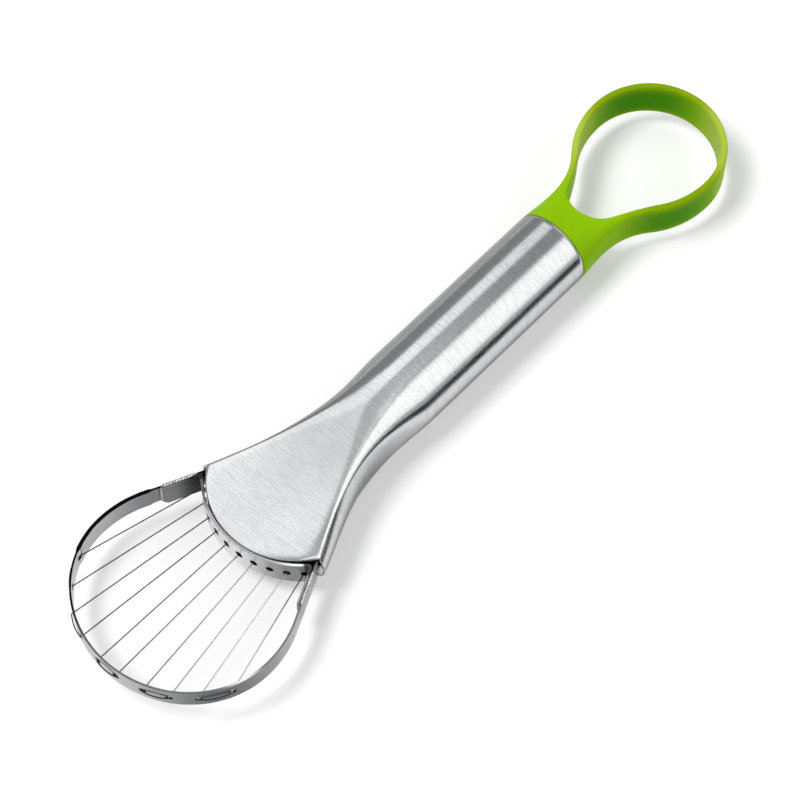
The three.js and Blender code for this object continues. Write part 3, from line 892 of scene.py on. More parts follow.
@dataclass
class CuttingHead:
    """The loop, the comb in front of the lip, the wire hairpins strung between them, and the welds."""

    axis_z: float = AXIS_Z
    mouth_x: float = MOUTH_X
    lip_x: float = LIP_X
    corner_y: float = 20.5632
    loop_x: float = -91.115
    loop_depth: float = 28.1
    loop_half: float = 30.7
    rear_radius: float = 30.7
    loop_height: float = 6.8
    thickness: float = 0.6
    leg_insert: float = 8.0
    leg_clearance: float = 0.3
    loop_hole: float = 1.8
    loop_angles: tuple[float, ...] = (67.4, 49.6, 35.0, 21.3, 6.1)
    comb_middle: float = 27.1
    comb_gap: float = 0.3
    comb_height: float = 9.1
    comb_hole: float = 2.0
    comb_hole_edge: float = 1.1
    tab_length: float = 10.5
    tab_root: float = 0.2
    tab_end_height: float = 6.4
    tab_chamfer: float = 1.3
    tab_top: float = 3.6
    tab_ease: float = 2.5
    fold_radius: float = 0.6
    weld_gap: float = 0.3
    wire_diameter: float = 0.35
    wire_gap: float = 0.1
    stitch_bow: float = 0.3
    bend_radius: float = 0.5
    bend_share: float = 0.45
    least_step: float = 1e-4
    tail_length: float = 1.5
    span_leave: float = 0.03
    lap_thickness: float = 1.15
    lap_from: float = math.radians(66.0)
    lap_rise: float = 0.05
    lap_end: float = -75.8
    lap_fall: float = 1.0
    bead_radius: float = 0.5
    right_bead_radius: float = 0.46
    bead_ripple: float = 0.06
    bead_pitch: float = 0.85
    bead_taper: float = 4.0
    bead_aside: tuple[float, float, float] = (0.3, 0.9, 0.31)
    seam_inset: float = 0.09
    seam_rise: float = 0.05
    drop_inset: float = 0.3
    drop_past: float = 0.1
    drop_rise: float = 0.3
    corner_weld: tuple[float, float, float] = (1.3, 0.9, 2.7)
    corner_weld_shift: tuple[float, float, float] = (-0.2, 0.55, -0.9)
    weld_crisp_from: float = 80.0
    leg_points: int = 10
    rear_points: int = 120
    front_points: int = 600
    tab_points: int = 12
    fold_points: int = 24
    comb_points: int = 400
    bend_points: int = 7
    stitch_points: int = 15
    wire_sides: int = 12
    seam_points: int = 60
    drop_points: int = 30
    egg_rows: int = 17
    egg_sides: int = 24
    # Painted shade on the loop, by degrees from its front, and on its edges, by the place across the tool
    loop_left_shade: Fade = Fade(0.0, 0.82, (60.0, 125.0))
    loop_front_shade: Hump = Hump(0.94, -60.0, 68.0)
    edge_left_shade: Fade = Fade(0.0, 1.0, (-25.0, 20.0))
    edge_shade_least: float = 0.8
    edge_lit: Hump = Hump(1.0, -74.0, 14.0)
    # Painted shade on the comb, with the heat tint of its tabs, by the height above the axis and the places
    # across and along the tool
    comb_top: Fade = Fade(0.0, 1.0, (4.05, 4.45))
    comb_right_shade: Fade = Fade(0.0, 0.72, (0.0, 17.0))
    comb_tabs: Fade = Fade(0.0, 1.0, (18.2, 19.0))
    left_tab: Fade = Fade(0.8, 1.0, (-72.0, -66.0))
    right_tab: Fade = Fade(0.2, 0.95, (-67.5, -66.0))
    top_left: Fade = Fade(0.0, 0.85, (5.0, 14.0))
    top_middle: Fade = Fade(0.0, 0.55, (-17.0, -12.0))
    # Painted shade on the wires, by the distance from the comb's arc or past the loop, and by the place
    # across
    wire_in_comb: Fade = Fade(1.0, 0.0, (0.2, 0.7))
    wire_stitch: Fade = Fade(0.0, 1.0, (0.46, 0.54))
    wire_dark: float = 0.82
    wire_dark_across: float = 40.0
    wire_dark_along: float = 110.0

    def __post_init__(self) -> None:
        """Works out the leg's line, the comb's middle and the fold from the sizes."""
        self.entry = np.array([self.mouth_x, self.corner_y - self.leg_clearance - self.thickness / 2.0])
        self.rear = np.array([self.loop_x, self.loop_half - self.rear_radius])
        span = self.entry - self.rear
        reach = math.hypot(*span)
        self.rear_turn = math.atan2(span[1], span[0]) + math.acos(self.rear_radius / reach)
        self.leg = np.array([math.sin(self.rear_turn), -math.cos(self.rear_turn)])
        self.leg_normal = np.array([math.cos(self.rear_turn), math.sin(self.rear_turn)])
        self.comb_x = self.lip_x - self.comb_gap - self.thickness / 2.0 + self.comb_middle
        inset = self.thickness + self.weld_gap + self.fold_radius
        start = self.entry - self.leg_normal * inset
        offset = start - np.array([self.comb_x, 0.0])
        along = float(offset @ self.leg)
        room = (self.comb_middle + self.fold_radius) ** 2 - (float(offset @ offset) - along ** 2)
        self.fold = start + self.leg * (-along - math.sqrt(room))
        self.fold_angle = math.atan2(self.fold[1], self.comb_x - self.fold[0])

    def loop_normal(self, angle: Array) -> Array:
        """Outward normal of the loop's front ellipse."""
        raw = np.stack([-self.loop_half * np.cos(angle), self.loop_depth * np.sin(angle)], axis=-1)
        return raw / np.linalg.norm(raw, axis=-1, keepdims=True)

    def loop_point(self, angle: Array, offset: Array | float = 0.0) -> Array:
        """A point on the loop's front ellipse, moved out along its normal."""
        on = np.stack([
            self.loop_x - self.loop_depth * np.cos(angle), self.loop_half * np.sin(angle),
        ], axis=-1)
        return on + self.loop_normal(angle) * np.asarray(offset)[..., None]

    def comb_point(self, angle: Array, offset: float = 0.0) -> Array:
        """A point on the comb's arc, moved out along its radius."""
        radius = self.comb_middle + offset
        return np.stack([self.comb_x - radius * np.cos(angle), radius * np.sin(angle)], axis=-1)

    def both_sides(self, half: Array) -> Array:
        """A path from the left end to the middle, joined to its mirror image."""
        mirror = half[::-1] * np.array([SideOf.LEFT.value, SideOf.RIGHT.value])
        return np.concatenate([half, mirror[1:]])

    def hole_angles(self) -> tuple[Array, Array]:
        """Angles of the holes in the loop and in the comb, from left to right."""
        half = np.radians(np.array(self.loop_angles))
        in_loop = np.concatenate([half, -half[::-1]])
        last = self.fold_angle - self.comb_hole_edge / self.comb_middle
        return in_loop, np.linspace(last, -last, len(in_loop))

    def build_loop(self) -> bpy.types.Object:
        """Makes the loop: straight legs, a circle behind its widest place and half an ellipse in front."""
        turn = np.linspace(self.rear_turn, math.pi / 2.0, self.rear_points)
        rear = self.rear + self.rear_radius * np.stack([np.cos(turn), np.sin(turn)], axis=1)
        leg = self.entry + self.leg * np.linspace(self.leg_insert, 0.0, self.leg_points)[:, None]
        front = self.loop_point(np.linspace(math.pi / 2.0, 0.0, self.front_points))
        path = self.both_sides(np.concatenate([leg, rear, front[1:]]))
        shape = StripShape(
            self.loop_height, self.lap_thickness, self.loop_hole, self.axis_z, rings=8, hole_shade_width=0.5,
            edge_finish=SHEARED_EDGE,
        )
        holes = self.loop_point(self.hole_angles()[0])
        piece = shape.build("loop_strip", path, holes, np.ones((len(path), 2)))
        places = places_of(piece)
        angle = np.arctan2(places[:, 1] / self.loop_half, (self.loop_x - places[:, 0]) / self.loop_depth)
        self.thicken_lap(piece, places, angle)
        degrees = np.degrees(angle)
        # Painted shade round the holes
        hole_dark = shape.hole_shade(places, holes)
        # Painted shade: the loop is darker towards the left leg and on the front right
        loop_shade = np.maximum(self.loop_left_shade.at(degrees), self.loop_front_shade.at(degrees))
        mark(piece, "tint_and_painted_shade", np.maximum(loop_shade, hole_dark))
        # Painted shade on the strip's edges: dark almost all round, darkest towards the left, bright on the
        # right leg
        edge_dark = self.edge_shade_least * (1.0 - self.edge_lit.at(degrees))
        edge_dark = np.maximum(self.edge_left_shade.at(places[:, 1]), edge_dark)
        mark(piece, "strip_edge_painted_shade", np.maximum(edge_dark, hole_dark))
        stand_for(piece, "cutting_loop")
        return piece

    def thicken_lap(self, piece: bpy.types.Object, places: Array, angle: Array) -> None:
        """Doubles the strip where its end laps over the left leg.

        The weight rises smoothly from 0 to 1 past the lap's first angle and falls again before the tab.

        Args:
            piece: the loop's object.
            places: its points.
            angle: each point's angle on the front ellipse.
        """
        rise = smooth((angle - self.lap_from) / self.lap_rise)
        fall = smooth((self.lap_end - places[:, 0]) / self.lap_fall)
        weight = np.round(rise * fall, 2)
        group = piece.vertex_groups.new(name="lap")
        for level in np.unique(weight):
            group.add(np.flatnonzero(weight == level).tolist(), float(level), "REPLACE")
        wall = piece.modifiers["wall"]
        wall.vertex_group = group.name
        wall.thickness_vertex_group = self.thickness / self.lap_thickness

    def build_comb(self) -> bpy.types.Object:
        """Makes the comb: an arc, a fold at each end and a tab along each leg with a chamfered end."""
        turn = np.linspace(self.rear_turn, -self.fold_angle, self.fold_points)
        fold = self.fold + self.fold_radius * np.stack([np.cos(turn), np.sin(turn)], axis=1)
        chamfer = self.tab_length - self.tab_chamfer
        back = np.concatenate([[self.tab_length], np.linspace(chamfer, self.tab_root, self.tab_points)])
        tab = fold[0] - self.leg * back[:, None]
        arc = self.comb_point(np.linspace(self.fold_angle, 0.0, self.comb_points))
        path = self.both_sides(np.concatenate([tab, fold, arc[1:]]))
        half = self.comb_height / 2.0
        reach = np.ones((len(path), 2))
        from_fold = np.abs(path[:, 0] - self.fold[0]) * (np.arange(len(path)) < len(tab))
        from_fold = np.maximum(from_fold, from_fold[::-1])
        reach[:, 0] = lerp(1.0, self.tab_top / half, smooth(from_fold / self.tab_ease))
        reach[[0, -1], 1] = self.tab_end_height / self.comb_height
        shape = StripShape(
            self.comb_height, self.thickness, self.comb_hole, self.axis_z, rows=18, rings=12,
            finish=COMB_STEEL,
        )
        holes = self.comb_point(self.hole_angles()[1])
        piece = shape.build("comb_strip", path, holes, reach)
        places = places_of(piece)
        # Painted shade on the comb and round its holes, with the heat tint of its tabs
        mark(piece, "tint_and_painted_shade", np.maximum(self.comb_tint(places), shape.hole_shade(places, holes)))
        stand_for(piece, "wire_comb")
        return piece

    def comb_tint(self, places: Array) -> Array:
        """How dark the comb is without the painted shade round its holes.

        Painted shade darkens it below its top edge towards the right. The tabs are dark, partly from the
        weld's heat and partly from painted shade, most of all near the folds. Painted shade also makes the
        top edge dark on the left and less so in the middle.

        Args:
            places: points of the comb.

        Returns:
            One number for each point.
        """
        x, y, z = places.T
        top = self.comb_top.at(z - self.axis_z)
        right = self.comb_right_shade.at(-y) * (1.0 - top)
        tabs = np.where(y > 0.0, self.left_tab.at(x), self.right_tab.at(x)) * self.comb_tabs.at(np.abs(y))
        edge = top * np.maximum(self.top_left.at(y), self.top_middle.at(y))
        return np.maximum(np.maximum(right, tabs), edge)

    def rounded(self, points: Array) -> Array:
        """Rounds the corners of a path.

        Each inner corner becomes a quadratic curve between points a trim before and behind it, where the trim
        is the bend's radius times the tangent of half the turn, and at most the bend's share of either
        straight.

        Args:
            points: the path's corners in plan.

        Returns:
            A finer path with round corners.
        """
        into = points[1:-1] - points[:-2]
        out = points[2:] - points[1:-1]
        into_length = np.linalg.norm(into, axis=1)
        out_length = np.linalg.norm(out, axis=1)
        cosine = np.sum(into * out, axis=1) / (into_length * out_length)
        turn = np.arccos(np.clip(cosine, -1.0, 1.0))
        most = self.bend_share * np.minimum(into_length, out_length)
        trim = np.minimum(self.bend_radius * np.tan(turn / 2.0), most)
        before = points[1:-1] - into * (trim / into_length)[:, None]
        behind = points[1:-1] + out * (trim / out_length)[:, None]
        share = np.linspace(0.0, 1.0, self.bend_points)[None, :, None]
        curve = (1.0 - share) ** 2 * before[:, None] + 2.0 * share * (1.0 - share) * points[1:-1, None]
        curve = curve + share ** 2 * behind[:, None]
        path = np.concatenate([points[:1], curve.reshape(-1, 2), points[-1:]])
        apart = np.linalg.norm(np.diff(path, axis=0), axis=1)
        return path[np.concatenate([[True], apart > self.least_step])]

    def span_end(self, start: Array, end: Array, normal: Array, past: float) -> Array:
        """Where the line from one hole through another meets a surface a distance past the second."""
        travel = (end - start) / np.linalg.norm(end - start)
        return end + travel * past / float(travel @ normal)

    def hairpin_path(self, on_loop: Array, on_comb: Array) -> Array:
        """Path of one hairpin in plan: tail, span, bowed stitch round the loop, span and tail.

        The stitch stands off the loop by a half sine. Each span has a point close to the comb and one in the
        loop's hole, so that a tint can change quickly at its ends.

        Args:
            on_loop: angles of its two holes in the loop.
            on_comb: angles of its two holes in the comb.

        Returns:
            The path's points.
        """
        past = self.thickness / 2.0 + self.wire_gap + self.wire_diameter / 2.0
        inward = math.copysign(self.tail_length / self.comb_middle, on_comb[1] - on_comb[0])
        share = np.linspace(0.0, 1.0, self.stitch_points)[1:-1]
        stitch = self.loop_point(
            lerp(on_loop[0], on_loop[1], share), past + self.stitch_bow * np.sin(math.pi * share),
        )
        far = self.loop_point(on_loop)
        near = self.comb_point(on_comb)
        back = (np.array([self.comb_x, 0.0]) - near) / self.comb_middle
        outward = self.loop_normal(on_loop)
        turns = [self.span_end(near[k], far[k], outward[k], past) for k in (0, 1)]
        anchors = [self.span_end(far[k], near[k], back[k], past) for k in (0, 1)]
        tails = [self.comb_point(on_comb[k] + sign * inward, -past) for k, sign in ((0, 1.0), (1, -1.0))]
        leave = lerp(near, far, self.span_leave)
        return self.rounded(np.array([
            tails[0], anchors[0], leave[0], far[0], turns[0], *stitch,
            turns[1], far[1], leave[1], anchors[1], tails[1],
        ]))

    def build_wires(self) -> list[bpy.types.Object]:
        """Makes the hairpins: a round section carried along each path, with closed ends.

        Returns:
            One object for each hairpin.
        """
        in_loop, in_comb = self.hole_angles()
        finish = DRAWN_WIRE.material()
        turn = np.arange(self.wire_sides) / self.wire_sides * 2.0 * math.pi
        made = []
        for number in range(len(in_loop) // 2):
            pair = slice(2 * number, 2 * number + 2)
            path = self.hairpin_path(in_loop[pair], in_comb[pair])
            travel = np.gradient(path, axis=0)
            travel = travel / np.linalg.norm(travel, axis=1, keepdims=True)
            side = np.stack([-travel[:, 1], travel[:, 0]], axis=1)
            across = self.wire_diameter / 2.0 * np.cos(turn)
            plan = path[:, None, :] + side[:, None, :] * across[None, :, None]
            up = self.axis_z + self.wire_diameter / 2.0 * np.sin(turn)
            points = np.concatenate([
                plan, np.broadcast_to(up[None, :, None], (len(path), self.wire_sides, 1)),
            ], axis=2)
            faces = grid_faces(len(path), self.wire_sides, False, True).tolist()
            ends = np.arange(self.wire_sides)
            faces.append(ends.tolist())
            faces.append((ends + (len(path) - 1) * self.wire_sides).tolist())
            piece = make_piece(f"hairpin_{number + 1}", points.reshape(-1, 3), faces, finish)
            # Painted shade on the wire
            mark(piece, "tint_and_painted_shade", self.wire_painted_shade(places_of(piece)))
            stand_for(piece, f"cutting_wire_{number + 1}")
            made.append(piece)
        return made

    def wire_painted_shade(self, places: Array) -> Array:
        """How much painted shade darkens the wires.

        The painted shade is darkest in the comb's holes and on the stitches outside the loop. Between them it
        darkens the wires evenly towards the left and away from the comb.

        Args:
            places: points of a wire.

        Returns:
            One number for each point.
        """
        x, y, _ = places.T
        from_comb = np.hypot(x - self.comb_x, y) - self.comb_middle
        even = self.wire_dark + y / self.wire_dark_across + from_comb / self.wire_dark_along
        oval = np.hypot((x - self.loop_x) / self.loop_depth, y / self.loop_half)
        past_loop = (oval - 1.0) * self.loop_depth
        ends = np.maximum(self.wire_in_comb.at(from_comb), self.wire_stitch.at(past_loop))
        return np.maximum(np.clip(even, 0.0, 1.0), ends)

    def bead(self, path: Array, radius: float) -> tuple[Array, Array]:
        """A weld bead: a round section along a straight path, rippled along it and tapered to both ends.

        The radius is multiplied by the root of a sine along the path, which closes the ends, and by a ripple
        of one wave for each step of the weld. The section's first direction is square to the path and to a
        direction that no bead runs along.

        Args:
            path: points along the bead's middle.
            radius: the bead's radius.

        Returns:
            Points and faces.
        """
        share = np.linspace(0.0, 1.0, len(path))
        length = float(np.linalg.norm(path[-1] - path[0]))
        ends = np.sqrt(np.clip(np.sin(math.pi * share) * self.bead_taper, 0.0, 1.0))
        waves = share * length / self.bead_pitch
        ripple = 1.0 + self.bead_ripple / self.bead_radius * np.sin(waves * 2.0 * math.pi)
        turn = np.arange(self.wire_sides) / self.wire_sides * 2.0 * math.pi
        along = (path[-1] - path[0]) / length
        side = np.cross(along, np.array(self.bead_aside))
        side = side / np.linalg.norm(side)
        other = np.cross(along, side)
        ring = np.cos(turn)[:, None] * side + np.sin(turn)[:, None] * other
        points = path[:, None, :] + (radius * ends * ripple)[:, None, None] * ring[None]
        faces = grid_faces(len(path), self.wire_sides, False, True)
        return points.reshape(-1, 3), faces

    def egg(self) -> tuple[Array, Array]:
        """The weld in the mouth's left corner: a sphere drawn out to its three half sizes.

        Returns:
            Points and faces.
        """
        turn, rise = np.meshgrid(
            np.arange(self.egg_sides) / self.egg_sides * 2.0 * math.pi,
            np.linspace(0.0, math.pi, self.egg_rows),
        )
        middle = np.array([self.mouth_x, self.corner_y, self.axis_z]) + np.array(self.corner_weld_shift)
        ball = np.stack([np.sin(rise) * np.cos(turn), np.sin(rise) * np.sin(turn), np.cos(rise)], axis=-1)
        points = middle + ball * np.array(self.corner_weld)
        return points.reshape(-1, 3), grid_faces(self.egg_rows, self.egg_sides, False, True)

    def build_welds(self) -> list[bpy.types.Object]:
        """Makes the welds of each side: along the tab's top and in the mouth's corner.

        The left side has one more down the tab's front end.

        Returns:
            One object for each side.
        """
        foot = self.fold + self.fold_radius * self.leg_normal
        start = float((self.entry - foot) @ self.leg)
        end = start + self.tab_length
        top = self.axis_z + self.loop_height / 2.0
        back = lerp(start, end, np.linspace(0.0, 1.0, self.seam_points)[:, None])
        seam_plan = self.entry - self.seam_inset * self.leg_normal - self.leg * back
        seam = np.column_stack([seam_plan, np.full(len(back), top + self.seam_rise)])
        inset = self.thickness / 2.0 + self.drop_inset
        drop_plan = self.entry - inset * self.leg_normal - self.leg * (end + self.drop_past)
        down = np.linspace(top + self.drop_rise, top - self.loop_height, self.drop_points)
        drop = np.column_stack([np.repeat(drop_plan[None], len(down), axis=0), down])
        made = []
        finish = WELD_STEEL.material()
        for side in SideOf:
            if side is SideOf.LEFT:
                parts = [self.bead(seam, self.bead_radius), self.egg(), self.bead(drop, self.bead_radius)]
            else:
                parts = [self.bead(seam, self.right_bead_radius), self.egg()]
            first = np.cumsum([0] + [len(part) for part, _ in parts])
            points = np.concatenate([part for part, _ in parts]) * np.array([1.0, side.value, 1.0])
            faces = np.concatenate([part_faces + k for (_, part_faces), k in zip(parts, first)])
            name = f"weld_{side.name.lower()}"
            piece = make_piece(name, points, faces.tolist(), finish, self.weld_crisp_from)
            attach(piece)
            made.append(piece)
        return made


@dataclass
class EndRing:
    """The moulded ring: an oval band, a neck that swells to the tube's round, and a plug inside the tube."""

    tube_end: float = TUBE_END
    tip_x: float = 120.485
    axis_z: float = AXIS_Z
    tube_radius: float = TUBE_RADIUS
    outer_half: float = 21.5
    wall: float = 2.1
    band_half: float = 5.9
    near_depth: float = 25.0
    edge_round: float = 0.9
    neck_join: float = math.radians(45.6)
    neck_waist: float = 10.8
    neck_sweep: float = 8.2
    neck_drop: float = 7.0
    nose_setback: float = 10.8
    nose_radius: float = 8.5
    nose_turn: float = math.radians(66.0)
    nose_join: float = math.radians(50.7)
    nose_share: float = math.radians(30.0)
    shoulder_gap: float = 0.3
    plug_length: float = 20.0
    plug_radius: float = 10.8
    plug_chamfer: float = 1.5
    tip_points: int = 44
    oval_points: int = 20
    neck_points: int = 30
    face_points: int = 15
    flank_points: int = 18
    nose_points: tuple[int, int] = (12, 15)
    slope_points: int = 200
    plug_sides: int = 64
    sheet_steps: int = 22
    wall_steps: int = 8
    crisp_from: float = 50.0
    # Painted shade and light, by the place past the neck's end, the turn from the dark side and the height
    # above the axis
    band_from: Fade = Fade(0.0, 1.0, (-12.0, 4.0))
    dark_side: float = math.radians(46.0)
    facing: Fade = Fade(0.0, 1.0, (0.5, 1.0))
    beside: Fade = Fade(0.0, 1.0, (0.72, 1.0))
    core_half: float = 4.4
    core_steep: float = 1.9
    core_least: float = 0.3

    def __post_init__(self) -> None:
        """Works out the places that the outline hangs on."""
        self.neck_x = self.tube_end + self.shoulder_gap
        self.centre_x = self.tip_x - self.outer_half
        self.join_x = self.centre_x - self.near_depth * math.cos(self.neck_join)
        self.join_y = self.outer_half * math.sin(self.neck_join)
        self.width_knots = (self.tube_radius, self.neck_waist, self.neck_sweep, self.join_y)
        self.height_knots = (self.tube_radius, self.neck_drop, self.band_half, self.band_half)

    def oval(self, angle: Array, inset: float) -> Array:
        """The band's outline: a circle at the tip's half and an ellipse at the neck's half."""
        depth = np.where(np.cos(angle) < 0.0, self.near_depth, self.outer_half) - inset
        half = self.outer_half - inset
        return np.stack([self.centre_x + depth * np.cos(angle), half * np.sin(angle)], axis=1)

    def upper_outlines(self) -> tuple[Array, Array]:
        """The outer and inner outline over the left half, point for point, from the tip to the tube.

        Outside: the oval, the neck's cubic curve, then the neck's end face. Inside: the oval, the flank's
        cubic curve, then the round nose of the hole. The counts of both add up to the same number.

        Returns:
            Outer and inner points in plan.
        """
        square = math.pi / 2.0
        tip = np.linspace(0.0, square, self.tip_points, endpoint=False)
        to_neck = np.linspace(square, math.pi - self.neck_join, self.oval_points, endpoint=False)
        to_nose = np.linspace(square, math.pi - self.nose_join, self.oval_points, endpoint=False)
        share = np.linspace(1.0, 0.0, self.neck_points, endpoint=False)
        neck = np.stack([lerp(self.neck_x, self.join_x, share), bezier(share, self.width_knots)], axis=1)
        face_y = np.linspace(self.tube_radius, 0.0, self.face_points)
        face = np.stack([np.full_like(face_y, self.neck_x), face_y], axis=1)
        nose_x = self.tube_end + self.nose_setback + self.nose_radius
        nose_start = math.pi - self.nose_turn
        nose_split = nose_start + self.nose_share
        nose = np.concatenate([
            np.linspace(nose_start, nose_split, self.nose_points[0], endpoint=False),
            np.linspace(nose_split, math.pi, self.nose_points[1]),
        ])
        nose_arc = self.nose_radius * np.stack([np.cos(nose), np.sin(nose)], axis=1) + np.array([nose_x, 0.0])
        start = self.oval(np.array([math.pi - self.nose_join]), self.wall)[0]
        end = nose_arc[0]
        third = (start[0] - end[0]) / 3.0
        inner_half = self.outer_half - self.wall
        slope = inner_half / math.tan(self.nose_join) / (self.near_depth - self.wall)
        flank_share = np.linspace(0.0, 1.0, self.flank_points, endpoint=False)
        leave, arrive = start[1] - third * slope, end[1] + third / math.tan(self.nose_turn)
        flank = np.stack([
            lerp(start[0], end[0], flank_share), bezier(flank_share, (start[1], leave, arrive, end[1])),
        ], axis=1)
        outer = np.concatenate([self.oval(tip, 0.0), self.oval(to_neck, 0.0), neck, face])
        inner = np.concatenate([self.oval(tip, self.wall), self.oval(to_nose, self.wall), flank, nose_arc])
        return outer, inner

    def half_height(self, x: Array, y: Array, to_inner: Array) -> Array:
        """Half the ring's height at places in plan.

        The neck's height follows a cubic curve from the tube to the band. Both edges drop away as arcs: a
        radius minus the root of its square less the square of what is left of it. The outer radius shrinks
        from the tube's own to the band's, so that the neck starts round.

        Args:
            x: places along the tool.
            y: places across it.
            to_inner: distance from the inner outline.

        Returns:
            Half heights.
        """
        share = np.clip((x - self.neck_x) / (self.join_x - self.neck_x), 0.0, 1.0)
        height = bezier(share, self.height_knots)
        radius = lerp(self.tube_radius, self.edge_round, 1.0 - (1.0 - share) ** 2)
        radius = np.minimum(radius, height)
        even = np.linspace(0.0, 1.0, self.slope_points)
        slope = np.gradient(bezier(even, self.width_knots), even) / (self.join_x - self.neck_x)
        lean = np.interp(share, even, slope)
        on_neck = (bezier(share, self.width_knots) - np.abs(y)) / np.sqrt(1.0 + lean ** 2)
        depth = np.where(x < self.centre_x, self.near_depth, self.outer_half)
        u = (x - self.centre_x) / depth
        v = y / self.outer_half
        ratio = np.maximum(np.hypot(u, v), TINY)
        fall = np.hypot(u / depth, v / self.outer_half) / ratio
        on_band = (1.0 - ratio) / np.maximum(fall, TINY)
        to_outer = np.maximum(np.where(x < self.join_x, on_neck, on_band), 0.0)
        left_out = np.maximum(radius - to_outer, 0.0)
        left_in = np.maximum(self.edge_round - to_inner, 0.0)
        outer_drop = radius - np.sqrt(np.maximum(radius ** 2 - left_out ** 2, 0.0))
        inner_drop = self.edge_round - np.sqrt(np.maximum(self.edge_round ** 2 - left_in ** 2, 0.0))
        return np.maximum(height - outer_drop - inner_drop, 0.0)

    def build(self) -> bpy.types.Object:
        """Makes the ring as one grid closed both ways, and the plug as a turned body.

        Rows go round the hole. Columns go over the top from the inner to the outer outline, down the outer
        wall, back under the bottom and up the inner wall.

        Returns:
            The ring's object.
        """
        outer, inner = self.upper_outlines()
        mirror = np.array([1.0, -1.0])
        outer = np.concatenate([outer, outer[-2:0:-1] * mirror])
        inner = np.concatenate([inner, inner[-2:0:-1] * mirror])
        share = (1.0 - np.cos(np.linspace(0.0, math.pi, self.sheet_steps + 1))) / 2.0
        plan = inner[:, None, :] + (outer - inner)[:, None, :] * share[None, :, None]
        width = np.linalg.norm(outer - inner, axis=1)
        top = self.half_height(plan[..., 0], plan[..., 1], width[:, None] * share[None, :])
        down = np.linspace(1.0, -1.0, self.wall_steps + 1)[None, 1:-1]
        over = np.concatenate([plan, top[..., None]], axis=2)
        under = np.concatenate([plan, -top[..., None]], axis=2)[:, ::-1]
        rows = len(outer)
        steps = self.wall_steps - 1
        outer_wall = np.concatenate([
            np.broadcast_to(outer[:, None, :], (rows, steps, 2)), (top[:, -1:] * down)[..., None],
        ], axis=2)
        inner_wall = np.concatenate([
            np.broadcast_to(inner[:, None, :], (rows, steps, 2)), (-top[:, :1] * down)[..., None],
        ], axis=2)
        grid = np.concatenate([over, outer_wall, under, inner_wall], axis=1)
        points = grid.reshape(-1, 3) + np.array([0.0, 0.0, self.axis_z])
        faces = grid_faces(grid.shape[0], grid.shape[1], True, True).tolist()
        plug, plug_faces = self.plug(len(points))
        piece = make_piece(
            "hang_ring", np.concatenate([points, plug]), faces + plug_faces,
            MouldedPolypropylene().material(), self.crisp_from,
        )
        self.tint(piece)
        stand_for(piece, "end_ring")
        return piece

    def tint(self, piece: bpy.types.Object) -> None:
        """Marks where painted shade makes the band's green deeper and where painted light makes it paler.

        Painted shade deepens the middle of its height on two opposite sides of the hole, painted light makes
        the sides between them paler, and painted shade gives both edges a darker tone. All three start past
        the neck.

        Args:
            piece: the ring's object.
        """
        x, y, z = places_of(piece).T
        height = np.abs(z - self.axis_z)
        on_band = self.band_from.at(x - self.join_x)
        turn = np.arctan2(y, x - self.centre_x) - self.dark_side
        core = np.maximum(smooth(self.core_steep * (1.0 - height / self.band_half)), self.core_least)
        # Painted shade in the core, painted light on the sides, painted shade at the edges
        mark(piece, "core_painted_shade", core * on_band * self.facing.at(np.abs(np.cos(turn))))
        mark(piece, "side_painted_light", on_band * self.beside.at(np.abs(np.sin(turn))))
        mark(piece, "band_edge_painted_shade", on_band * between(height, (self.core_half, self.band_half)))

    def plug(self, first: int) -> tuple[Array, list]:
        """The plug in the tube: a chamfered round profile turned about the tool's axis.

        Args:
            first: number of the plug's first point.

        Returns:
            Points and faces.
        """
        sides = self.plug_sides
        end = self.tube_end - self.plug_length
        x = np.array([end, end + self.plug_chamfer, self.neck_x])
        radius = np.array([self.plug_radius - self.plug_chamfer, self.plug_radius, self.plug_radius])
        turn = np.arange(sides) / sides * 2.0 * math.pi
        points = np.stack([
            np.repeat(x[:, None], sides, axis=1),
            radius[:, None] * np.cos(turn)[None, :],
            self.axis_z + radius[:, None] * np.sin(turn)[None, :],
        ], axis=2).reshape(-1, 3)
        ring = np.arange(sides) + first
        faces = (grid_faces(len(x), sides, False, True) + first).tolist()
        return points, faces + [ring.tolist(), (ring + (len(x) - 1) * sides).tolist()]


@dataclass(frozen=True)
class SoftBox:
    """A soft patch of light in the studio round the tool, seen from the tool.

    The patch is even within its inner angle and has faded out at its outer angle.
    """

    towards: tuple[float, float, float]
    inner: float
    outer: float
    strength: float


@dataclass(frozen=True)
class AreaLamp:
    """A flat rectangular lamp that faces the tool, long side along it.

    A lamp that isn't mirrored lights plastic and floor but leaves no patch of its own on the steel. A lamp
    that leaves matt surfaces alone does the opposite.
    """

    name: str
    towards: tuple[float, float, float]
    distance: float
    size: tuple[float, float]
    radiance: float
    mirrored: bool
    lights_matt: bool = True

    def build(self) -> None:
        """Hangs the lamp in its direction from the tool."""
        data = bpy.data.lights.new(self.name, "AREA")
        data.shape = "RECTANGLE"
        data.size = self.size[0] * MM
        data.size_y = self.size[1] * MM
        data.energy = self.radiance * math.pi * data.size * data.size_y
        lamp = bpy.data.objects.new(self.name, data)
        lamp.visible_camera = False
        lamp.visible_glossy = self.mirrored
        lamp.visible_diffuse = self.lights_matt
        bpy.context.scene.collection.objects.link(lamp)
        towards = np.array(self.towards) / np.linalg.norm(self.towards)
        side = np.array([1.0, 0.0, 0.0]) - towards * towards[0]
        side = side / np.linalg.norm(side)
        lamp.matrix_world = placed(side, np.cross(towards, side), towards, towards * self.distance)


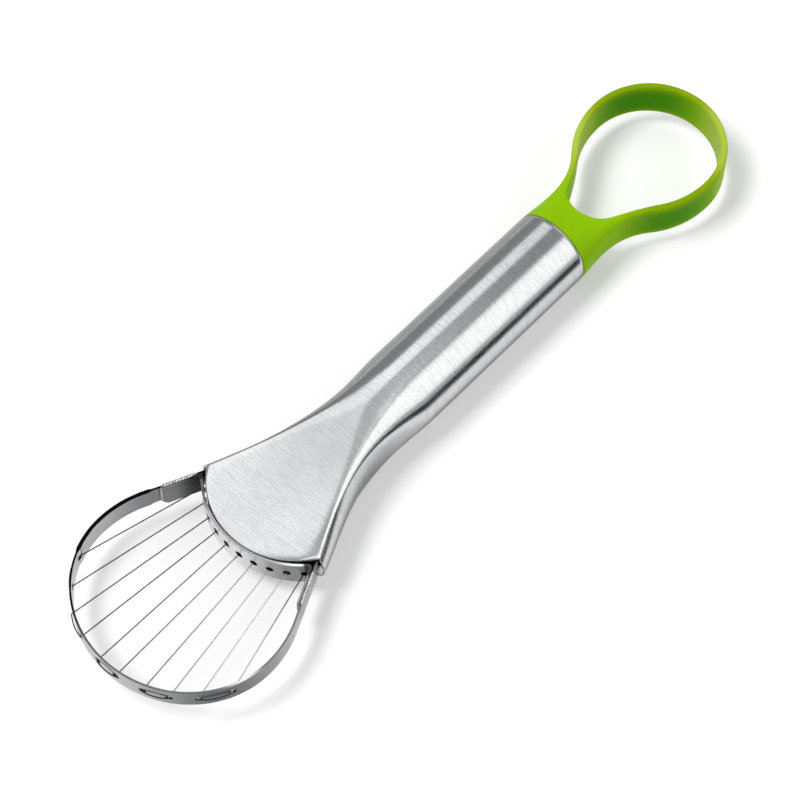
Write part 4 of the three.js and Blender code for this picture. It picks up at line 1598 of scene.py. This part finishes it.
@dataclass(frozen=True)
class Card:
    """A low card that stands beside the tool and only draws a dark or grey line in the polished steel."""

    name: str
    y: float
    height: float
    colour: str
    span: tuple[float, float] = (-55.0, 200.0)

    def build(self) -> None:
        """Stands the card on the floor, along the tool, where only mirrored rays meet it."""
        along, up = np.meshgrid(np.array(self.span), np.array([0.0, self.height]), indexing="ij")
        points = np.stack([along, np.full_like(along, self.y), up], axis=-1).reshape(-1, 3)
        made, tree = new_material(f"{self.name}_matt")
        matt = add_node(tree, "ShaderNodeBsdfDiffuse", {"Color": linear(self.colour)})
        add_node(tree, "ShaderNodeOutputMaterial", None, {"Surface": matt.outputs["BSDF"]})
        card = stage_sheet(self.name, points, grid_faces(2, 2, False, False), made)
        card.visible_camera = False
        card.visible_diffuse = False
        card.visible_shadow = False


@dataclass
class Studio:
    """White floor, camera, four lamps, two cards and a dim room with soft boxes."""

    eye: tuple[float, float, float] = (-280.772, -250.967, 650.504)
    right: tuple[float, float, float] = (0.676025, -0.736879, -0.000439)
    up: tuple[float, float, float] = (0.638538, 0.585507, 0.499451)
    forward: tuple[float, float, float] = (0.367777, 0.337922, -0.866342)
    focal_pixels: float = 2709.16
    picture_pixels: float = 800.0
    sensor: float = 36.0
    clip: tuple[float, float] = (0.01, 20.0)
    floor_half: float = 4000.0
    floor_points: int = 9
    room: float = 0.38
    boxes: tuple[SoftBox, ...] = (
        SoftBox((0.37, -0.74, 0.56), 22.0, 34.0, 1.66),
        SoftBox((-1.0, 0.0, 0.36), 6.0, 30.0, 0.7),
        SoftBox((1.0, 0.0, 0.36), 6.0, 30.0, 0.7),
    )
    cards: tuple[Card, ...] = (
        Card("black_card", -47.0, 15.7, "#050505"),
        Card("grey_card", 46.0, 19.0, "#efefef"),
    )
    lamps: tuple[AreaLamp, ...] = (
        AreaLamp("strip_lamp", (0.1251, 0.5367, 0.8344), 707.6, (600.0, 366.0), 1.28, True),
        AreaLamp("fill_lamp", (-0.36, 0.27, 0.89), 1600.0, (580.0, 520.0), 18.2, False),
        AreaLamp("low_lamp", (-0.26, -0.024, 0.966), 122.0, (196.0, 66.0), 0.48, True, False),
        AreaLamp("loop_lamp", (-0.316, -0.395, 0.862), 139.2, (80.0, 90.0), 2.0, True, False),
    )

    def build(self) -> None:
        """Sets out the floor, the camera, the lamps, the cards and the room."""
        self.build_floor()
        self.build_camera()
        for item in (*self.lamps, *self.cards):
            item.build()
        self.build_room()
        bpy.context.scene.view_settings.view_transform = "Standard"

    def build_floor(self) -> None:
        """Makes the floor: a flat grid at the table's height."""
        span = np.linspace(-self.floor_half, self.floor_half, self.floor_points)
        x, y = np.meshgrid(span, span, indexing="ij")
        points = np.stack([x, y, np.zeros_like(x)], axis=-1).reshape(-1, 3)
        faces = grid_faces(len(span), len(span), False, False)[:, ::-1]
        stage_sheet("floor", points, faces, PaperFloor().material())

    def build_camera(self) -> None:
        """Places the camera at the measured eye, looking along the measured axes."""
        data = bpy.data.cameras.new("camera")
        data.sensor_width = self.sensor
        data.sensor_fit = "HORIZONTAL"
        data.lens = self.focal_pixels / self.picture_pixels * self.sensor
        data.clip_start, data.clip_end = self.clip
        camera = bpy.data.objects.new("camera", data)
        bpy.context.scene.collection.objects.link(camera)
        back = -np.array(self.forward)
        camera.matrix_world = placed(np.array(self.right), np.array(self.up), back, np.array(self.eye))
        bpy.context.scene.camera = camera

    def build_room(self) -> None:
        """Lights the room: an even dim grey plus the soft boxes, each a fading patch about its direction."""
        world = bpy.data.worlds.new("studio")
        bpy.context.scene.world = world
        world.use_nodes = True
        tree = world.node_tree
        tree.nodes.clear()
        look = add_node(tree, "ShaderNodeTexCoord").outputs["Generated"]
        total = None
        for box in self.boxes:
            towards = np.array(box.towards) / np.linalg.norm(box.towards)
            facing = add_node(
                tree, "ShaderNodeVectorMath", {1: towards.tolist()}, {0: look}, operation="DOT_PRODUCT",
            ).outputs["Value"]
            patch = add_node(
                tree, "ShaderNodeMapRange",
                {"From Min": math.cos(math.radians(box.outer)), "From Max": math.cos(math.radians(box.inner)),
                 "To Min": 0.0, "To Max": box.strength},
                {"Value": facing}, interpolation_type="SMOOTHSTEP",
            ).outputs["Result"]
            links = {0: patch} if total is None else {0: patch, 1: total}
            total = add_node(
                tree, "ShaderNodeMath", {1: self.room}, links, operation="ADD",
            ).outputs[0]
        light = add_node(tree, "ShaderNodeBackground", None, {"Strength": total})
        add_node(tree, "ShaderNodeOutputWorld", None, {"Surface": light.outputs["Background"]})


def main() -> None:
    """Builds the studio and the tool's sub-assemblies in order."""
    logging.basicConfig(level=logging.INFO, format="%(name)s: %(message)s")
    Studio().build()
    Handle().build()
    head = CuttingHead()
    head.build_loop()
    head.build_comb()
    head.build_wires()
    head.build_welds()
    EndRing().build()


if __name__ == "__main__":
    main()
